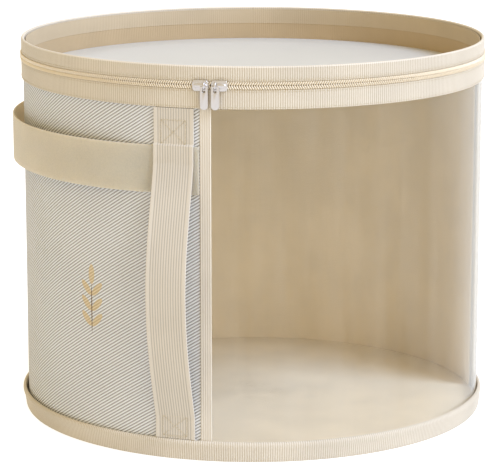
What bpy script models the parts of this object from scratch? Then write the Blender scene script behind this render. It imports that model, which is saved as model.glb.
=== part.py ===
"""Round hat box with a zipped lid, a clear window and two webbing straps.

Metres, +Z up. The origin is the middle of the underside. Azimuths are in degrees: 0 is the
front (-Y) and they grow towards +X, so the left of the box has negative azimuths. Every
piece at an azimuth is drawn at the front first and then turned about Z.
"""

import math

import bmesh
import bpy
from mathutils import Matrix

# Overall sizes
BAND_RADIUS = 0.2000  # outer face of the lid band and of the body band
HEIGHT = 0.3248
SEGMENTS = 72  # sides of every round piece, so that nested pieces stay parallel
GAP = 0.0003  # clearance between pieces that lie on each other

# Lid: a rim band folded over a steel hoop, a facing inside it and a sunk panel
BAND_CLOTH = 0.0007
RIM_WIDTH = 0.0028
RIM_FOLD_DEPTH = 0.0078  # how far the band is turned down inside the rim
PANEL_DEPTH = 0.0291  # top of the sunk panel below the top of the rim
PANEL_THICK = 0.0008
FACING_CLOTH = 0.0006
FACING_SLOPE = 0.0012  # how much the facing leans in below the zip
HOOP_THICK = 0.0008
LID_HOOP_HEIGHT = 0.0055

# Zip
ZIP_DEPTH = 0.0155  # middle of the zip below the top of the rim
ZIP_HEIGHT = 0.0058  # both rows of coil together
COIL_PARTING = 0.0012  # between the two rows, for the neck of a slider
COIL_THICK = 0.0017
TAPE_CLOTH = 0.0007
TAPE_TUCK = 0.0045  # tape hidden under each band
HINGE_HALF_SPAN = 12.0  # degrees of cloth hinge each side of the back
HINGE_CLOTH = 0.0006
HINGE_WING = 0.0120  # height of each half of the cloth hinge
STOP_LENGTH = 0.0020

# Sliders and pulls
SLIDERS_MEET = -9.7  # azimuth
SLIDERS_APART = 0.0022
SLIDER_LENGTH = 0.0130
SLIDER_HEIGHT = 0.0088
SLIDER_PLATE = 0.0009
SLIDER_NECK = 0.0006
BAIL_WIDTH = 0.0016
BAIL_BAR = 0.0010
BAIL_REACH = 0.0022  # clear depth inside the bail
BAIL_SPAN = 0.0038  # clear height inside the bail
PULL_LENGTH = 0.0220
PULL_WIDTH = 0.0065
PULL_THICK = 0.0010
PULL_TOP_BAR = 0.0012
PULL_EYE_WIDTH = 0.0030
PULL_EYE_LENGTH = 0.0042

# Body
BODY_BAND_HEIGHT = 0.0157
BODY_HOOP_HEIGHT = 0.0034
WALL_CLOTH = 0.0008
WALL_INSET = 0.0016  # outer face of the wall inside the band's outer face
BOARD_THICK = 0.0007
LINING_CLOTH = 0.0004
WINDOW_FILM = 0.0006
WINDOW_LEFT = -11.0  # azimuths of the window's sewn edges
WINDOW_RIGHT = 97.0
BINDING_WIDTH = 0.0087
BINDING_CLOTH = 0.0006

# Base
BASE_BAND_HEIGHT = 0.0168
BASE_BAND_FLARE = 0.0023  # top of the base band outside the rim bands
BASE_BAND_FOOT = 0.0002  # foot of the base band outside the rim bands
BASE_BAND_CLOTH = 0.0012
BASE_LIP = 0.0103  # base band turned in under the base
BASE_CLOTH = 0.0008
BASE_BOARD = 0.0020
BASE_LINING = 0.0006
BASE_HOOP_HEIGHT = 0.0060

# Straps
WEBBING = 0.0014
SIDE_STRAP_HEIGHT = 0.0390
SIDE_STRAP_DROP = 0.0310  # its top edge below the body band
SIDE_STRAP_STANDOFF = 0.0080
SIDE_STRAP_FLAT = 12.0  # degrees sewn flat at its front end
HANDLE_WIDTH = 0.0340
HANDLE_FROM_WINDOW = 0.0045  # clear wall between the handle and the window binding
HANDLE_SEWN = 0.0180  # sewn length at the foot
HANDLE_BOW = 0.0220
HANDLE_BOW_LOW = 0.53  # where the bow is deepest, as a share from its top end
HANDLE_BOW_EASE = 1.6  # how gently the bow starts at its top end
HANDLE_LIFTS = 0.0065  # stand-off at which the free part of the handle starts
HANDLE_STEPS = 28

STEP = 360.0 / SEGMENTS

# Heights and radii that follow from the sizes above
ZIP_Z = HEIGHT - ZIP_DEPTH
LID_BAND_LOW = ZIP_Z + ZIP_HEIGHT / 2 + GAP
BODY_BAND_TOP = ZIP_Z - ZIP_HEIGHT / 2 - GAP
BODY_BAND_LOW = BODY_BAND_TOP - BODY_BAND_HEIGHT
PANEL_TOP = HEIGHT - PANEL_DEPTH

HOOP_OUTER = BAND_RADIUS - BAND_CLOTH - GAP
HOOP_INNER = HOOP_OUTER - HOOP_THICK
TAPE_OUTER = HOOP_OUTER - GAP / 3
TAPE_INNER = TAPE_OUTER - TAPE_CLOTH
COIL_INNER = TAPE_OUTER + GAP
COIL_OUTER = COIL_INNER + COIL_THICK
PLATE_INNER = COIL_OUTER + GAP  # inner face of a slider's outer plate
PLATE_OUTER = PLATE_INNER + SLIDER_PLATE
BACK_PLATE_OUTER = TAPE_INNER - 1.4 * GAP
BACK_PLATE_INNER = BACK_PLATE_OUTER - SLIDER_PLATE

WALL_OUTER = BAND_RADIUS - WALL_INSET
WALL_INNER = WALL_OUTER - WALL_CLOTH
BOARD_OUTER = WALL_INNER - GAP
BOARD_INNER = BOARD_OUTER - BOARD_THICK
LINING_OUTER = BOARD_INNER - GAP
LINING_INNER = LINING_OUTER - LINING_CLOTH
ON_WALL = WALL_OUTER + GAP
WALL_TOP = BODY_BAND_TOP - TAPE_TUCK - BODY_HOOP_HEIGHT - 2 * GAP
BOARD_TOP = BODY_BAND_TOP - 5 * GAP

FACING_OUTER = BACK_PLATE_INNER - 1.5 * GAP
FACING_FOOT = LINING_INNER - 1.5 * GAP - FACING_SLOPE / 2

BASE_BOARD_LOW = BASE_CLOTH + GAP
BASE_BOARD_TOP = BASE_BOARD_LOW + BASE_BOARD
WALL_FOOT = BASE_BOARD_TOP + GAP
BINDING_FOOT = WALL_FOOT + BASE_HOOP_HEIGHT + 2 * GAP

SIDE_STRAP_TOP = BODY_BAND_LOW - SIDE_STRAP_DROP
SIDE_STRAP_LOW = SIDE_STRAP_TOP - SIDE_STRAP_HEIGHT


def around(length, radius=BAND_RADIUS):
    """Degrees that a length covers along the wall."""
    return math.degrees(length / radius)


WINDOW_BINDING_EDGE = WINDOW_LEFT - around(BINDING_WIDTH / 2)
HANDLE_AZIMUTH = WINDOW_BINDING_EDGE - around(HANDLE_FROM_WINDOW + HANDLE_WIDTH / 2)
SLIDER_OFFSET = around((SLIDERS_APART + SLIDER_LENGTH) / 2)
STOP_AZIMUTH = 180 - HINGE_HALF_SPAN - around(2 * GAP + STOP_LENGTH / 2)
COIL_END = STOP_AZIMUTH - around(STOP_LENGTH / 2 + 2 * GAP)

BAIL_BAR_INNER = PLATE_OUTER + BAIL_REACH
PULL_AXIS_RADIUS = PLATE_OUTER + BAIL_REACH / 2
PULL_AXIS_Z = ZIP_Z - BAIL_SPAN / 2 + 0.9 * PULL_TOP_BAR
PULL_SIDE = SLIDER_LENGTH / 2 - PULL_WIDTH / 2  # from a slider's middle to its pull's middle
HINGE_AXIS_Y = BAND_RADIUS + HINGE_CLOTH + 2 * GAP

# A drawing with x as radius and y as height, stood up at the front of the box
RADIAL_PLANE = Matrix(((0, 0, -1, 0), (-1, 0, 0, 0), (0, 1, 0, 0), (0, 0, 0, 1)))
# A drawing with x to the right and y as height, facing the front
FRONT_PLANE = Matrix.Rotation(math.radians(90), 4, "X")

FINISHES = {  # colour, roughness, metallic, alpha
    "grosgrain": ("#DDD2C0", 0.80, 0.0, 1.0),
    "twill": ("#E1DDD2", 0.85, 0.0, 1.0),
    "lining_cloth": ("#CDBFA6", 0.85, 0.0, 1.0),
    "stiff_board": ("#E9E6DF", 0.60, 0.0, 1.0),
    "clear_vinyl": ("#F7F7F4", 0.08, 0.0, 0.25),
    "milky_vinyl": ("#E2E0DC", 0.35, 0.0, 1.0),
    "webbing": ("#CFC2AB", 0.80, 0.0, 1.0),
    "spring_steel": ("#8E8E8A", 0.35, 1.0, 1.0),
    "zip_tape": ("#E4D6BC", 0.80, 0.0, 1.0),
    "zip_coil": ("#F5E4CA", 0.45, 0.0, 1.0),
    "plated_zinc": ("#D9D9DD", 0.25, 1.0, 1.0),
}


def clear_scene():
    for obj in list(bpy.data.objects):
        bpy.data.objects.remove(obj, do_unlink=True)


def new_collection(name, for_cutters=False):
    collection = bpy.data.collections.new(name)
    collection.hide_render = for_cutters
    bpy.context.scene.collection.children.link(collection)
    return collection


def linear_colour(code, alpha):
    """An sRGB hex colour as the linear values that a shader takes."""
    shares = [int(code[i : i + 2], 16) / 255 for i in (1, 3, 5)]
    return [s / 12.92 if s <= 0.04045 else ((s + 0.055) / 1.055) ** 2.4 for s in shares] + [alpha]


def material_for(node, finish):
    """A sub-part's own material, with the values of its finish."""
    colour, roughness, metallic, alpha = FINISHES[finish]
    material = bpy.data.materials.new(f"{node}_{finish}")
    material.use_nodes = True
    shader = material.node_tree.nodes["Principled BSDF"]
    shader.inputs["Base Color"].default_value = linear_colour(colour, alpha)
    shader.inputs["Roughness"].default_value = roughness
    shader.inputs["Metallic"].default_value = metallic
    shader.inputs["Alpha"].default_value = alpha
    return material


def finished(obj, finish):
    """Gives a new sub-part its material and puts it in the collection of parts."""
    for collection in list(obj.users_collection):
        collection.objects.unlink(obj)
    bpy.data.collections["hat_box"].objects.link(obj)
    obj.data.materials.append(material_for(obj.name, finish))
    return obj


def facet_radius(radius, azimuth):
    """The radius of a SEGMENTS-sided ring at an azimuth, less than its corners' between them."""
    half = math.radians(STEP / 2)
    return radius * math.cos(half) / math.cos(math.radians(azimuth % STEP) - half)


def ring_stops(start, end):
    """Azimuths from start to end, with every corner of the ring between them."""
    corners = range(math.floor(start / STEP) + 1, math.ceil(end / STEP))
    return [start] + [corner * STEP for corner in corners] + [end]


def on_ring(radius, azimuth):
    angle = math.radians(azimuth)
    size = facet_radius(radius, azimuth)
    return size * math.sin(angle), -size * math.cos(angle)


def flat_shape(name, finish, loops, thick, matrix):
    """A filled flat drawing, with holes, made thick evenly to both sides of its plane."""
    curve = bpy.data.curves.new(name, "CURVE")
    curve.dimensions = "2D"
    curve.fill_mode = "BOTH"
    curve.extrude = thick / 2
    for loop in loops:
        spline = curve.splines.new("POLY")
        spline.points.add(len(loop) - 1)
        for point, (x, y) in zip(spline.points, loop):
            point.co = (x, y, 0, 1)
        spline.use_cyclic_u = True
    obj = bpy.data.objects.new(name, curve)
    obj.matrix_world = matrix
    return finished(obj, finish)


def arc_strip(name, finish, radii, span, heights):
    """An upright strip that follows the wall; radii are (inner, outer), as numbers or rules."""
    inner, outer = (r if callable(r) else (lambda azimuth, r=r: r) for r in radii)
    stops = ring_stops(*span)
    loop = [on_ring(outer(stop), stop) for stop in stops]
    loop += [on_ring(inner(stop), stop) for stop in reversed(stops)]
    low, high = heights
    middle = Matrix.Translation((0, 0, (low + high) / 2))
    return flat_shape(name, finish, [loop], high - low, middle)


def turned(name, finish, profile):
    """A full ring from its section: (radius, z) points that run down the outer side."""
    mesh = bpy.data.meshes.new(name)
    count = len(profile)
    edges = [(i, (i + 1) % count) for i in range(count)]
    mesh.from_pydata([(radius, 0, z) for radius, z in profile], edges, [])
    obj = bpy.data.objects.new(name, mesh)
    screw = obj.modifiers.new("turn", "SCREW")
    screw.steps = screw.render_steps = SEGMENTS
    screw.use_merge_vertices = True
    screw.merge_threshold = 0.00001
    screw.use_smooth_shade = True
    return finished(obj, finish)


def plain_ring(name, finish, inner, outer, low, high):
    return turned(name, finish, [(outer, high), (outer, low), (inner, low), (inner, high)])


def disc(name, finish, radius, low, high):
    bpy.ops.mesh.primitive_cylinder_add(
        vertices=SEGMENTS, radius=radius, depth=high - low, location=(0, 0, (low + high) / 2)
    )
    obj = bpy.context.object
    obj.name = name
    return finished(obj, finish)


def block_mesh(name, size, centre):
    """A box whose object stays at the origin, so that it turns about the box's axis."""
    mesh = bpy.data.meshes.new(name)
    shape = bmesh.new()
    bmesh.ops.create_cube(shape, size=1)
    bmesh.ops.scale(shape, vec=size, verts=shape.verts)
    bmesh.ops.translate(shape, vec=centre, verts=shape.verts)
    shape.to_mesh(mesh)
    shape.free()
    return bpy.data.objects.new(name, mesh)


def join_block(obj, name, size, centre):
    """Joins a box to a piece with a Boolean; the box itself is a hidden helper."""
    helper = block_mesh(f"{obj.name}_{name}", size, centre)
    helper.display_type = "WIRE"
    helper.hide_render = True
    helper.matrix_world = obj.matrix_world
    bpy.data.collections["cutters"].objects.link(helper)
    union = obj.modifiers.new(name, "BOOLEAN")
    union.operation = "UNION"
    union.object = helper


def half_turn(centre, radius, count, start, end):
    """Points along an arc, ends included, from one angle to another in degrees."""
    angles = [math.radians(start + (end - start) * i / count) for i in range(count + 1)]
    return [(centre[0] + radius * math.cos(a), centre[1] + radius * math.sin(a)) for a in angles]


def hang_on(empty, pieces):
    """Parents pieces to the empty on their joint's axis, where they are."""
    for piece in pieces:
        piece.parent = empty
        piece.matrix_parent_inverse = empty.matrix_world.inverted()


def joint_empty(name, location):
    empty = bpy.data.objects.new(name, None)
    empty.matrix_world = Matrix.Translation(location)
    empty.empty_display_size = 0.02
    bpy.data.collections["hat_box"].objects.link(empty)
    return empty


def make_base():
    foot_radius = BAND_RADIUS + BASE_BAND_FOOT
    top_radius = BAND_RADIUS + BASE_BAND_FLARE
    lip_radius = foot_radius - BASE_LIP
    waist = (foot_radius * 0.4 + top_radius * 0.6, BASE_BAND_HEIGHT / 2)
    ease = BASE_BAND_CLOTH / 2
    turned(
        "base_band",
        "grosgrain",
        [
            (top_radius, BASE_BAND_HEIGHT),
            waist,
            (foot_radius + ease, 2 * ease),
            (foot_radius, 0),
            (lip_radius, 0),
            (lip_radius, BASE_CLOTH),
            (foot_radius - 2 * ease, BASE_CLOTH),
            (foot_radius - ease, WALL_FOOT - GAP),
            (waist[0] - BASE_BAND_CLOTH, waist[1]),
            (top_radius - BASE_BAND_CLOTH, BASE_BAND_HEIGHT),
        ],
    )
    plain_ring(
        "base_hoop",
        "spring_steel",
        ON_WALL,
        ON_WALL + HOOP_THICK,
        WALL_FOOT,
        WALL_FOOT + BASE_HOOP_HEIGHT,
    )
    disc("base_cover", "twill", lip_radius - GAP, 0, BASE_CLOTH)
    disc("base_board", "stiff_board", WALL_INNER - GAP, BASE_BOARD_LOW, BASE_BOARD_TOP)
    disc("base_lining", "lining_cloth", LINING_INNER - GAP, WALL_FOOT, WALL_FOOT + BASE_LINING)


def make_walls():
    window_left = WINDOW_LEFT + around(GAP)
    window_right = WINDOW_RIGHT - around(GAP)
    wall = (WALL_INNER, WALL_OUTER)
    tall = (BASE_BOARD_LOW, WALL_TOP)
    back = 180 - around(GAP)
    rest_of_ring = (WINDOW_RIGHT, WINDOW_LEFT + 360)
    arc_strip("side_wall", "twill", wall, (-back, WINDOW_LEFT), tall)
    arc_strip("back_wall", "twill", wall, (WINDOW_RIGHT, back), tall)
    film = (WALL_OUTER - WINDOW_FILM, WALL_OUTER)
    arc_strip("window_pane", "clear_vinyl", film, (window_left, window_right), tall)
    inside = (WALL_FOOT, BOARD_TOP)
    arc_strip("wall_board", "stiff_board", (BOARD_INNER, BOARD_OUTER), rest_of_ring, inside)
    arc_strip("wall_lining", "lining_cloth", (LINING_INNER, LINING_OUTER), rest_of_ring, inside)


def make_bindings():
    binding = (ON_WALL, ON_WALL + BINDING_CLOTH)
    tall = (BINDING_FOOT, BODY_BAND_LOW - GAP)
    half = around(BINDING_WIDTH / 2)
    seams = {
        "window_binding_left": WINDOW_LEFT,
        "window_binding_right": WINDOW_RIGHT,
        "back_seam_binding": 180.0,
    }
    for name, middle in seams.items():
        arc_strip(name, "grosgrain", binding, (middle - half, middle + half), tall)


def make_body_rim():
    tape_low = BODY_BAND_TOP - TAPE_TUCK
    coil_low = ZIP_Z - ZIP_HEIGHT / 2
    coil_top = ZIP_Z - COIL_PARTING / 2
    plain_ring(
        "body_band",
        "grosgrain",
        BAND_RADIUS - BAND_CLOTH,
        BAND_RADIUS,
        BODY_BAND_LOW,
        BODY_BAND_TOP,
    )
    plain_ring(
        "body_hoop",
        "spring_steel",
        HOOP_INNER,
        HOOP_OUTER,
        tape_low - GAP - BODY_HOOP_HEIGHT,
        tape_low - GAP,
    )
    plain_ring("body_zip_tape", "zip_tape", TAPE_INNER, TAPE_OUTER, tape_low, coil_top)
    coil = (COIL_INNER, COIL_OUTER)
    arc_strip("body_zip_coil", "zip_coil", coil, (-COIL_END, COIL_END), (coil_low, coil_top))
    half = around(STOP_LENGTH / 2)
    for name, middle in (("zip_stop_left", -STOP_AZIMUTH), ("zip_stop_right", STOP_AZIMUTH)):
        arc_strip(name, "plated_zinc", coil, (middle - half, middle + half), (coil_low, coil_top))
    hinge = (BAND_RADIUS + GAP, BAND_RADIUS + GAP + HINGE_CLOTH)
    back = (180 - HINGE_HALF_SPAN, 180 + HINGE_HALF_SPAN)
    arc_strip("hinge_cloth_body", "grosgrain", hinge, back, (ZIP_Z - HINGE_WING, ZIP_Z - GAP))


def make_lid():
    """The lid's pieces, all on the hinge line at the back of the zip."""
    rim_middle = (BAND_RADIUS - RIM_WIDTH / 2, HEIGHT - RIM_WIDTH / 2)
    rim_inner = BAND_RADIUS - RIM_WIDTH
    fold_low = HEIGHT - RIM_FOLD_DEPTH
    band = turned(
        "lid_band",
        "grosgrain",
        [(rim_inner, fold_low)]
        + half_turn(rim_middle, RIM_WIDTH / 2, 6, 180, 0)
        + [(BAND_RADIUS, LID_BAND_LOW), (BAND_RADIUS - BAND_CLOTH, LID_BAND_LOW)]
        + half_turn(rim_middle, RIM_WIDTH / 2 - BAND_CLOTH, 4, 0, 180)
        + [(rim_inner + BAND_CLOTH, fold_low)],
    )
    hoop_top = HEIGHT - RIM_WIDTH / 2
    hoop_low = hoop_top - LID_HOOP_HEIGHT
    hoop = plain_ring("lid_hoop", "spring_steel", HOOP_INNER, HOOP_OUTER, hoop_low, hoop_top)
    tape_low = ZIP_Z + COIL_PARTING / 2
    tape_high = LID_BAND_LOW + TAPE_TUCK
    tape = plain_ring("lid_zip_tape", "zip_tape", TAPE_INNER, TAPE_OUTER, tape_low, tape_high)
    coil = arc_strip(
        "lid_zip_coil",
        "zip_coil",
        (COIL_INNER, COIL_OUTER),
        (-COIL_END, COIL_END),
        (tape_low, ZIP_Z + ZIP_HEIGHT / 2),
    )
    facing_top = rim_inner - GAP
    panel_low = PANEL_TOP - PANEL_THICK
    facing_line = [
        (facing_top, fold_low + RIM_FOLD_DEPTH / 2),
        (FACING_OUTER, LID_BAND_LOW + GAP),
        (FACING_FOOT + FACING_SLOPE / 2, BOARD_TOP),
        (FACING_FOOT, panel_low),
    ]
    facing_back = [(radius - FACING_CLOTH, z) for radius, z in reversed(facing_line)]
    facing = turned("lid_facing", "grosgrain", facing_line + facing_back)
    panel_radius = FACING_FOOT - FACING_CLOTH - GAP
    panel = disc("lid_panel", "milky_vinyl", panel_radius, panel_low, PANEL_TOP)
    hinge = arc_strip(
        "hinge_cloth_lid",
        "grosgrain",
        (BAND_RADIUS + GAP, BAND_RADIUS + GAP + HINGE_CLOTH),
        (180 - HINGE_HALF_SPAN, 180 + HINGE_HALF_SPAN),
        (ZIP_Z + GAP, ZIP_Z + HINGE_WING),
    )
    axis = joint_empty("lid_hinge_axis", (0, HINGE_AXIS_Y, ZIP_Z))
    hang_on(axis, [band, hoop, tape, coil, facing, panel, hinge])


def make_slider(name, azimuth, bail_side):
    """A slider that wraps the coil: two plates on a thin neck, and a bail for its pull.

    Its object stays on the box's axis, about which it runs round the rim. bail_side is 1 or
    -1, for the end that carries the bail.
    """
    turn = Matrix.Rotation(math.radians(azimuth), 4, "Z")
    depth = PLATE_OUTER - PLATE_INNER
    slider = block_mesh(
        name,
        (SLIDER_LENGTH, depth, SLIDER_HEIGHT),
        (0, -(PLATE_INNER + PLATE_OUTER) / 2, ZIP_Z),
    )
    slider.matrix_world = turn
    finished(slider, "plated_zinc")
    back_depth = BACK_PLATE_OUTER - BACK_PLATE_INNER
    back_middle = -(BACK_PLATE_OUTER + BACK_PLATE_INNER) / 2
    join_block(slider, "back", (SLIDER_LENGTH, back_depth, SLIDER_HEIGHT), (0, back_middle, ZIP_Z))
    neck_middle = -(PLATE_OUTER + BACK_PLATE_INNER) / 2
    neck_depth = PLATE_OUTER - BACK_PLATE_INNER - depth
    join_block(slider, "neck", (SLIDER_LENGTH * 0.6, neck_depth, SLIDER_NECK), (0, neck_middle, ZIP_Z))
    side = bail_side * PULL_SIDE
    root = PLATE_OUTER - depth / 2
    leg_depth = BAIL_BAR_INNER + BAIL_BAR / 2 - root
    for leg, up in (("leg_low", -1), ("leg_high", 1)):
        centre = (side, -(root + leg_depth / 2), ZIP_Z + up * (BAIL_SPAN + BAIL_BAR) / 2)
        join_block(slider, leg, (BAIL_WIDTH, leg_depth, BAIL_BAR), centre)
    bar_height = BAIL_SPAN + 2 * BAIL_BAR
    bar_centre = (side, -(BAIL_BAR_INNER + BAIL_BAR / 2), ZIP_Z)
    join_block(slider, "bar", (BAIL_WIDTH, BAIL_BAR, bar_height), bar_centre)


def make_pull(name, azimuth, bail_side):
    """A flat pull that hangs on its slider's bail; its object is on the top bar's middle."""
    turn = Matrix.Rotation(math.radians(azimuth), 4, "Z")
    place = Matrix.Translation((bail_side * PULL_SIDE, -PULL_AXIS_RADIUS, PULL_AXIS_Z))
    half = PULL_WIDTH / 2
    top = PULL_TOP_BAR / 2
    foot = top - PULL_LENGTH + half
    outline = [(half, top)] + [(-half, top)] + half_turn((0, foot), half, 10, 180, 360)
    eye_half = PULL_EYE_WIDTH / 2
    eye_low = -top - PULL_EYE_LENGTH
    eye = [(-eye_half, -top), (eye_half, -top), (eye_half, eye_low), (-eye_half, eye_low)]
    flat_shape(name, "plated_zinc", [outline, eye], PULL_THICK, turn @ place @ FRONT_PLANE)


def make_zip_runners():
    for side, direction in (("left", -1), ("right", 1)):
        azimuth = SLIDERS_MEET + direction * SLIDER_OFFSET
        make_slider(f"slider_{side}", azimuth, -direction)
        make_pull(f"pull_{side}", azimuth, -direction)


def side_strap_standoff(azimuth):
    """How far the side strap's inner face stands off its sewn line, flat at the front end."""
    start = WINDOW_BINDING_EDGE - SIDE_STRAP_FLAT
    share = (start - azimuth) / (start + 180)
    if share <= 0:
        return 0.0
    return SIDE_STRAP_STANDOFF * (1 - (2 * share - 1) ** 4)


def make_side_strap():
    ends = around(BINDING_WIDTH / 2 + GAP)
    arc_strip(
        "side_strap",
        "webbing",
        (
            lambda azimuth: ON_WALL + side_strap_standoff(azimuth),
            lambda azimuth: ON_WALL + side_strap_standoff(azimuth) + WEBBING,
        ),
        (-180 + ends, WINDOW_LEFT - ends),
        (SIDE_STRAP_LOW, SIDE_STRAP_TOP),
    )


def handle_standoff(z):
    """The handle's inner face off the wall at a height: flat where sewn, bowed between."""
    top = SIDE_STRAP_TOP + GAP + WEBBING
    low = BASE_BAND_HEIGHT + HANDLE_SEWN
    share = (top - z) / (top - low)
    if not 0 < share < 1:
        return GAP
    if share < HANDLE_BOW_LOW:
        bow = math.sin(share / HANDLE_BOW_LOW * math.pi / 2) ** HANDLE_BOW_EASE
    else:
        bow = math.sin((1 - share) / (1 - HANDLE_BOW_LOW) * math.pi / 2)
    over_side_strap = WEBBING + 2 * GAP if z > SIDE_STRAP_LOW - GAP else 0
    return max(GAP + (HANDLE_BOW - GAP) * bow, over_side_strap)


def handle_piece(name, low, high, steps):
    """A stretch of the handle between two heights, drawn from its side."""
    heights = [low + (high - low) * i / steps for i in range(steps + 1)]
    inner = [(WALL_OUTER + handle_standoff(z), z) for z in heights]
    outer = []
    for i, (radius, z) in enumerate(inner):
        before = inner[max(i - 1, 0)]
        after = inner[min(i + 1, steps)]
        run = math.dist(before, after)
        across = ((after[1] - before[1]) / run, (before[0] - after[0]) / run)
        outer.append((radius + WEBBING * across[0], z + WEBBING * across[1] * (0 < i < steps)))
    turn = Matrix.Rotation(math.radians(HANDLE_AZIMUTH), 4, "Z")
    return flat_shape(
        name, "webbing", [inner + outer[::-1]], HANDLE_WIDTH, turn @ RADIAL_PLANE
    )


def make_handle():
    """One webbing strap in three stretches: two sewn ends and the free part that swings."""
    free_top = SIDE_STRAP_LOW - 2 * WEBBING
    free_low = BASE_BAND_HEIGHT + HANDLE_SEWN
    while handle_standoff(free_low) < HANDLE_LIFTS:
        free_low += GAP
    handle_piece("handle_top_end", free_top + GAP, BODY_BAND_LOW - GAP, HANDLE_STEPS)
    handle_piece("handle_bottom_end", BASE_BAND_HEIGHT + GAP, free_low - GAP, HANDLE_STEPS // 2)
    grip = handle_piece("handle_grip", free_low, free_top, HANDLE_STEPS)
    angle = math.radians(HANDLE_AZIMUTH)
    pivot = (ON_WALL * math.sin(angle), -ON_WALL * math.cos(angle), 0)
    hang_on(joint_empty("handle_swing_axis", pivot), [grip])


def main():
    clear_scene()
    new_collection("hat_box")
    new_collection("cutters", for_cutters=True)
    make_base()
    make_walls()
    make_bindings()
    make_body_rim()
    make_lid()
    make_zip_runners()
    make_side_strap()
    make_handle()


main()
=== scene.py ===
import math

import bpy
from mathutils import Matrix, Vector


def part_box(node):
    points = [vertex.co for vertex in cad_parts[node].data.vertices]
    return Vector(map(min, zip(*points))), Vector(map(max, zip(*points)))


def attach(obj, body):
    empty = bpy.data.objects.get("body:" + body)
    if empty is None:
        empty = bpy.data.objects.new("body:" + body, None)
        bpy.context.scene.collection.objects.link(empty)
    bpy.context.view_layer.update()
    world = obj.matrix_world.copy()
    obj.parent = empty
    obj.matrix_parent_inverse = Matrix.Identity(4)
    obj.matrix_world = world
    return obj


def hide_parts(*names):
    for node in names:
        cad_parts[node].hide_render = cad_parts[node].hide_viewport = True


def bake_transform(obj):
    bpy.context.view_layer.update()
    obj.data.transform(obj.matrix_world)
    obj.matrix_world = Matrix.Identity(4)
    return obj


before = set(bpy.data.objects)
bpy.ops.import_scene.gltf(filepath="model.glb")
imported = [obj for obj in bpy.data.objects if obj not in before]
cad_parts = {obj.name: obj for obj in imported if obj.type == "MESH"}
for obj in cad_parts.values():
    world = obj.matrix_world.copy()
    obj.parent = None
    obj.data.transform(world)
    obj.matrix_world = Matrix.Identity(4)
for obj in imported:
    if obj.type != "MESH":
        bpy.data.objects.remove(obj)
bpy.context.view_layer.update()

bl_info = {
    "name": "Round Hat Box",
    "version": (1, 0, 0),
    "blender": (4, 5, 0),
    "location": "3D View > Sidebar > Hat Box",
    "description": "Builds the cloth, zip, window and straps of a round hat box on its frame",
    "category": "Add Mesh",
}


def reach(node):
    """A round node's outer radius, from its box."""
    low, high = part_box(node)
    return (high.x - low.x) / 2


def level(node):
    """A node's lowest and highest z."""
    low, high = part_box(node)
    return low.z, high.z


# Sizes that follow from the frame, in metres
BAND_RADIUS = reach("body_band")
HEIGHT = level("lid_band")[1]
LID_BAND_LOW = level("lid_band")[0]
BODY_BAND_LOW, BODY_BAND_TOP = level("body_band")
ZIP_Z = (LID_BAND_LOW + BODY_BAND_TOP) / 2
PANEL_LOW, PANEL_TOP = level("lid_panel")
WALL_LOW, WALL_TOP = level("side_wall")
STRAP_LOW, STRAP_TOP = level("side_strap")
FOOT_TOP = level("base_band")[1]
BINDING_LOW, BINDING_TOP = level("window_binding_left")
HANDLE_LOW = level("handle_bottom_end")[0]
HANDLE_TOP = level("handle_top_end")[1]

WALL_OUTER = BAND_RADIUS - 0.0016
WALL_INNER = WALL_OUTER - 0.0008
ON_WALL = WALL_OUTER + 0.0003
LINING_OUTER = BAND_RADIUS - 0.0037
LINING_INNER = LINING_OUTER - 0.0004
COIL_INNER = BAND_RADIUS - 0.0008
COIL_OUTER = BAND_RADIUS + 0.0009
PLATE_INNER = BAND_RADIUS + 0.0012  # of a slider's outer plate
PLATE_OUTER = BAND_RADIUS + 0.0021

# Azimuths in degrees: 0 is the front, and they grow towards +X
WINDOW_LEFT = -11.0
WINDOW_RIGHT = 97.0
BINDING_HALF = 1.246
HINGE_HALF = 12.0
SLIDER_LEFT = -11.877
SLIDER_RIGHT = -7.523
COIL_END = 167.08
STOP_MIDDLE = 167.54
HANDLE_MIDDLE = -18.405

ROUND_STEPS = 360

# Cloth and strap sizes, in metres
BAND_CLOTH = 0.0007
STRAP_THICK = 0.0014
HANDLE_WIDTH = 0.0340
HANDLE_SPLIT = 0.1360  # height where the handle's two halves meet
CROSS_HALF = 0.0105
CROSS_HEIGHTS = ((0.2610, 0.2805), (0.0195, 0.0360))
LEFT_FLARE = 0.0016  # how much further the foot stands out at the left

# Sliders and pulls, in metres
SLIDER_LENGTH = 0.0130
SLIDER_HEIGHT = 0.0088
INNER_PLATE = (BAND_RADIUS - 0.00312, BAND_RADIUS - 0.00222)
BAIL_SIZE = (0.0028, 0.0027, 0.0040)
PULL_SIZE = (0.0065, 0.0010, 0.0190)
EYE_SIZE = (0.0024, 0.004, 0.0042)

POLYESTER_IOR = 1.56
PVC_IOR = 1.53


# --- colours and nodes -------------------------------------------------------------------


def linear(code):
    """An sRGB hex colour as linear red, green and blue."""
    shares = [int(code[i : i + 2], 16) / 255 for i in (1, 3, 5)]
    return [s / 12.92 if s <= 0.04045 else ((s + 0.055) / 1.055) ** 2.4 for s in shares]


def colour_prop(name, code, description):
    return bpy.props.FloatVectorProperty(
        name=name, description=description, subtype="COLOR", size=3, min=0, max=1, default=linear(code)
    )


def length_prop(name, default, description):
    return bpy.props.FloatProperty(
        name=name,
        description=description,
        default=default,
        min=0.0001,
        precision=5,
        unit="LENGTH",
        subtype="DISTANCE",
    )


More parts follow.
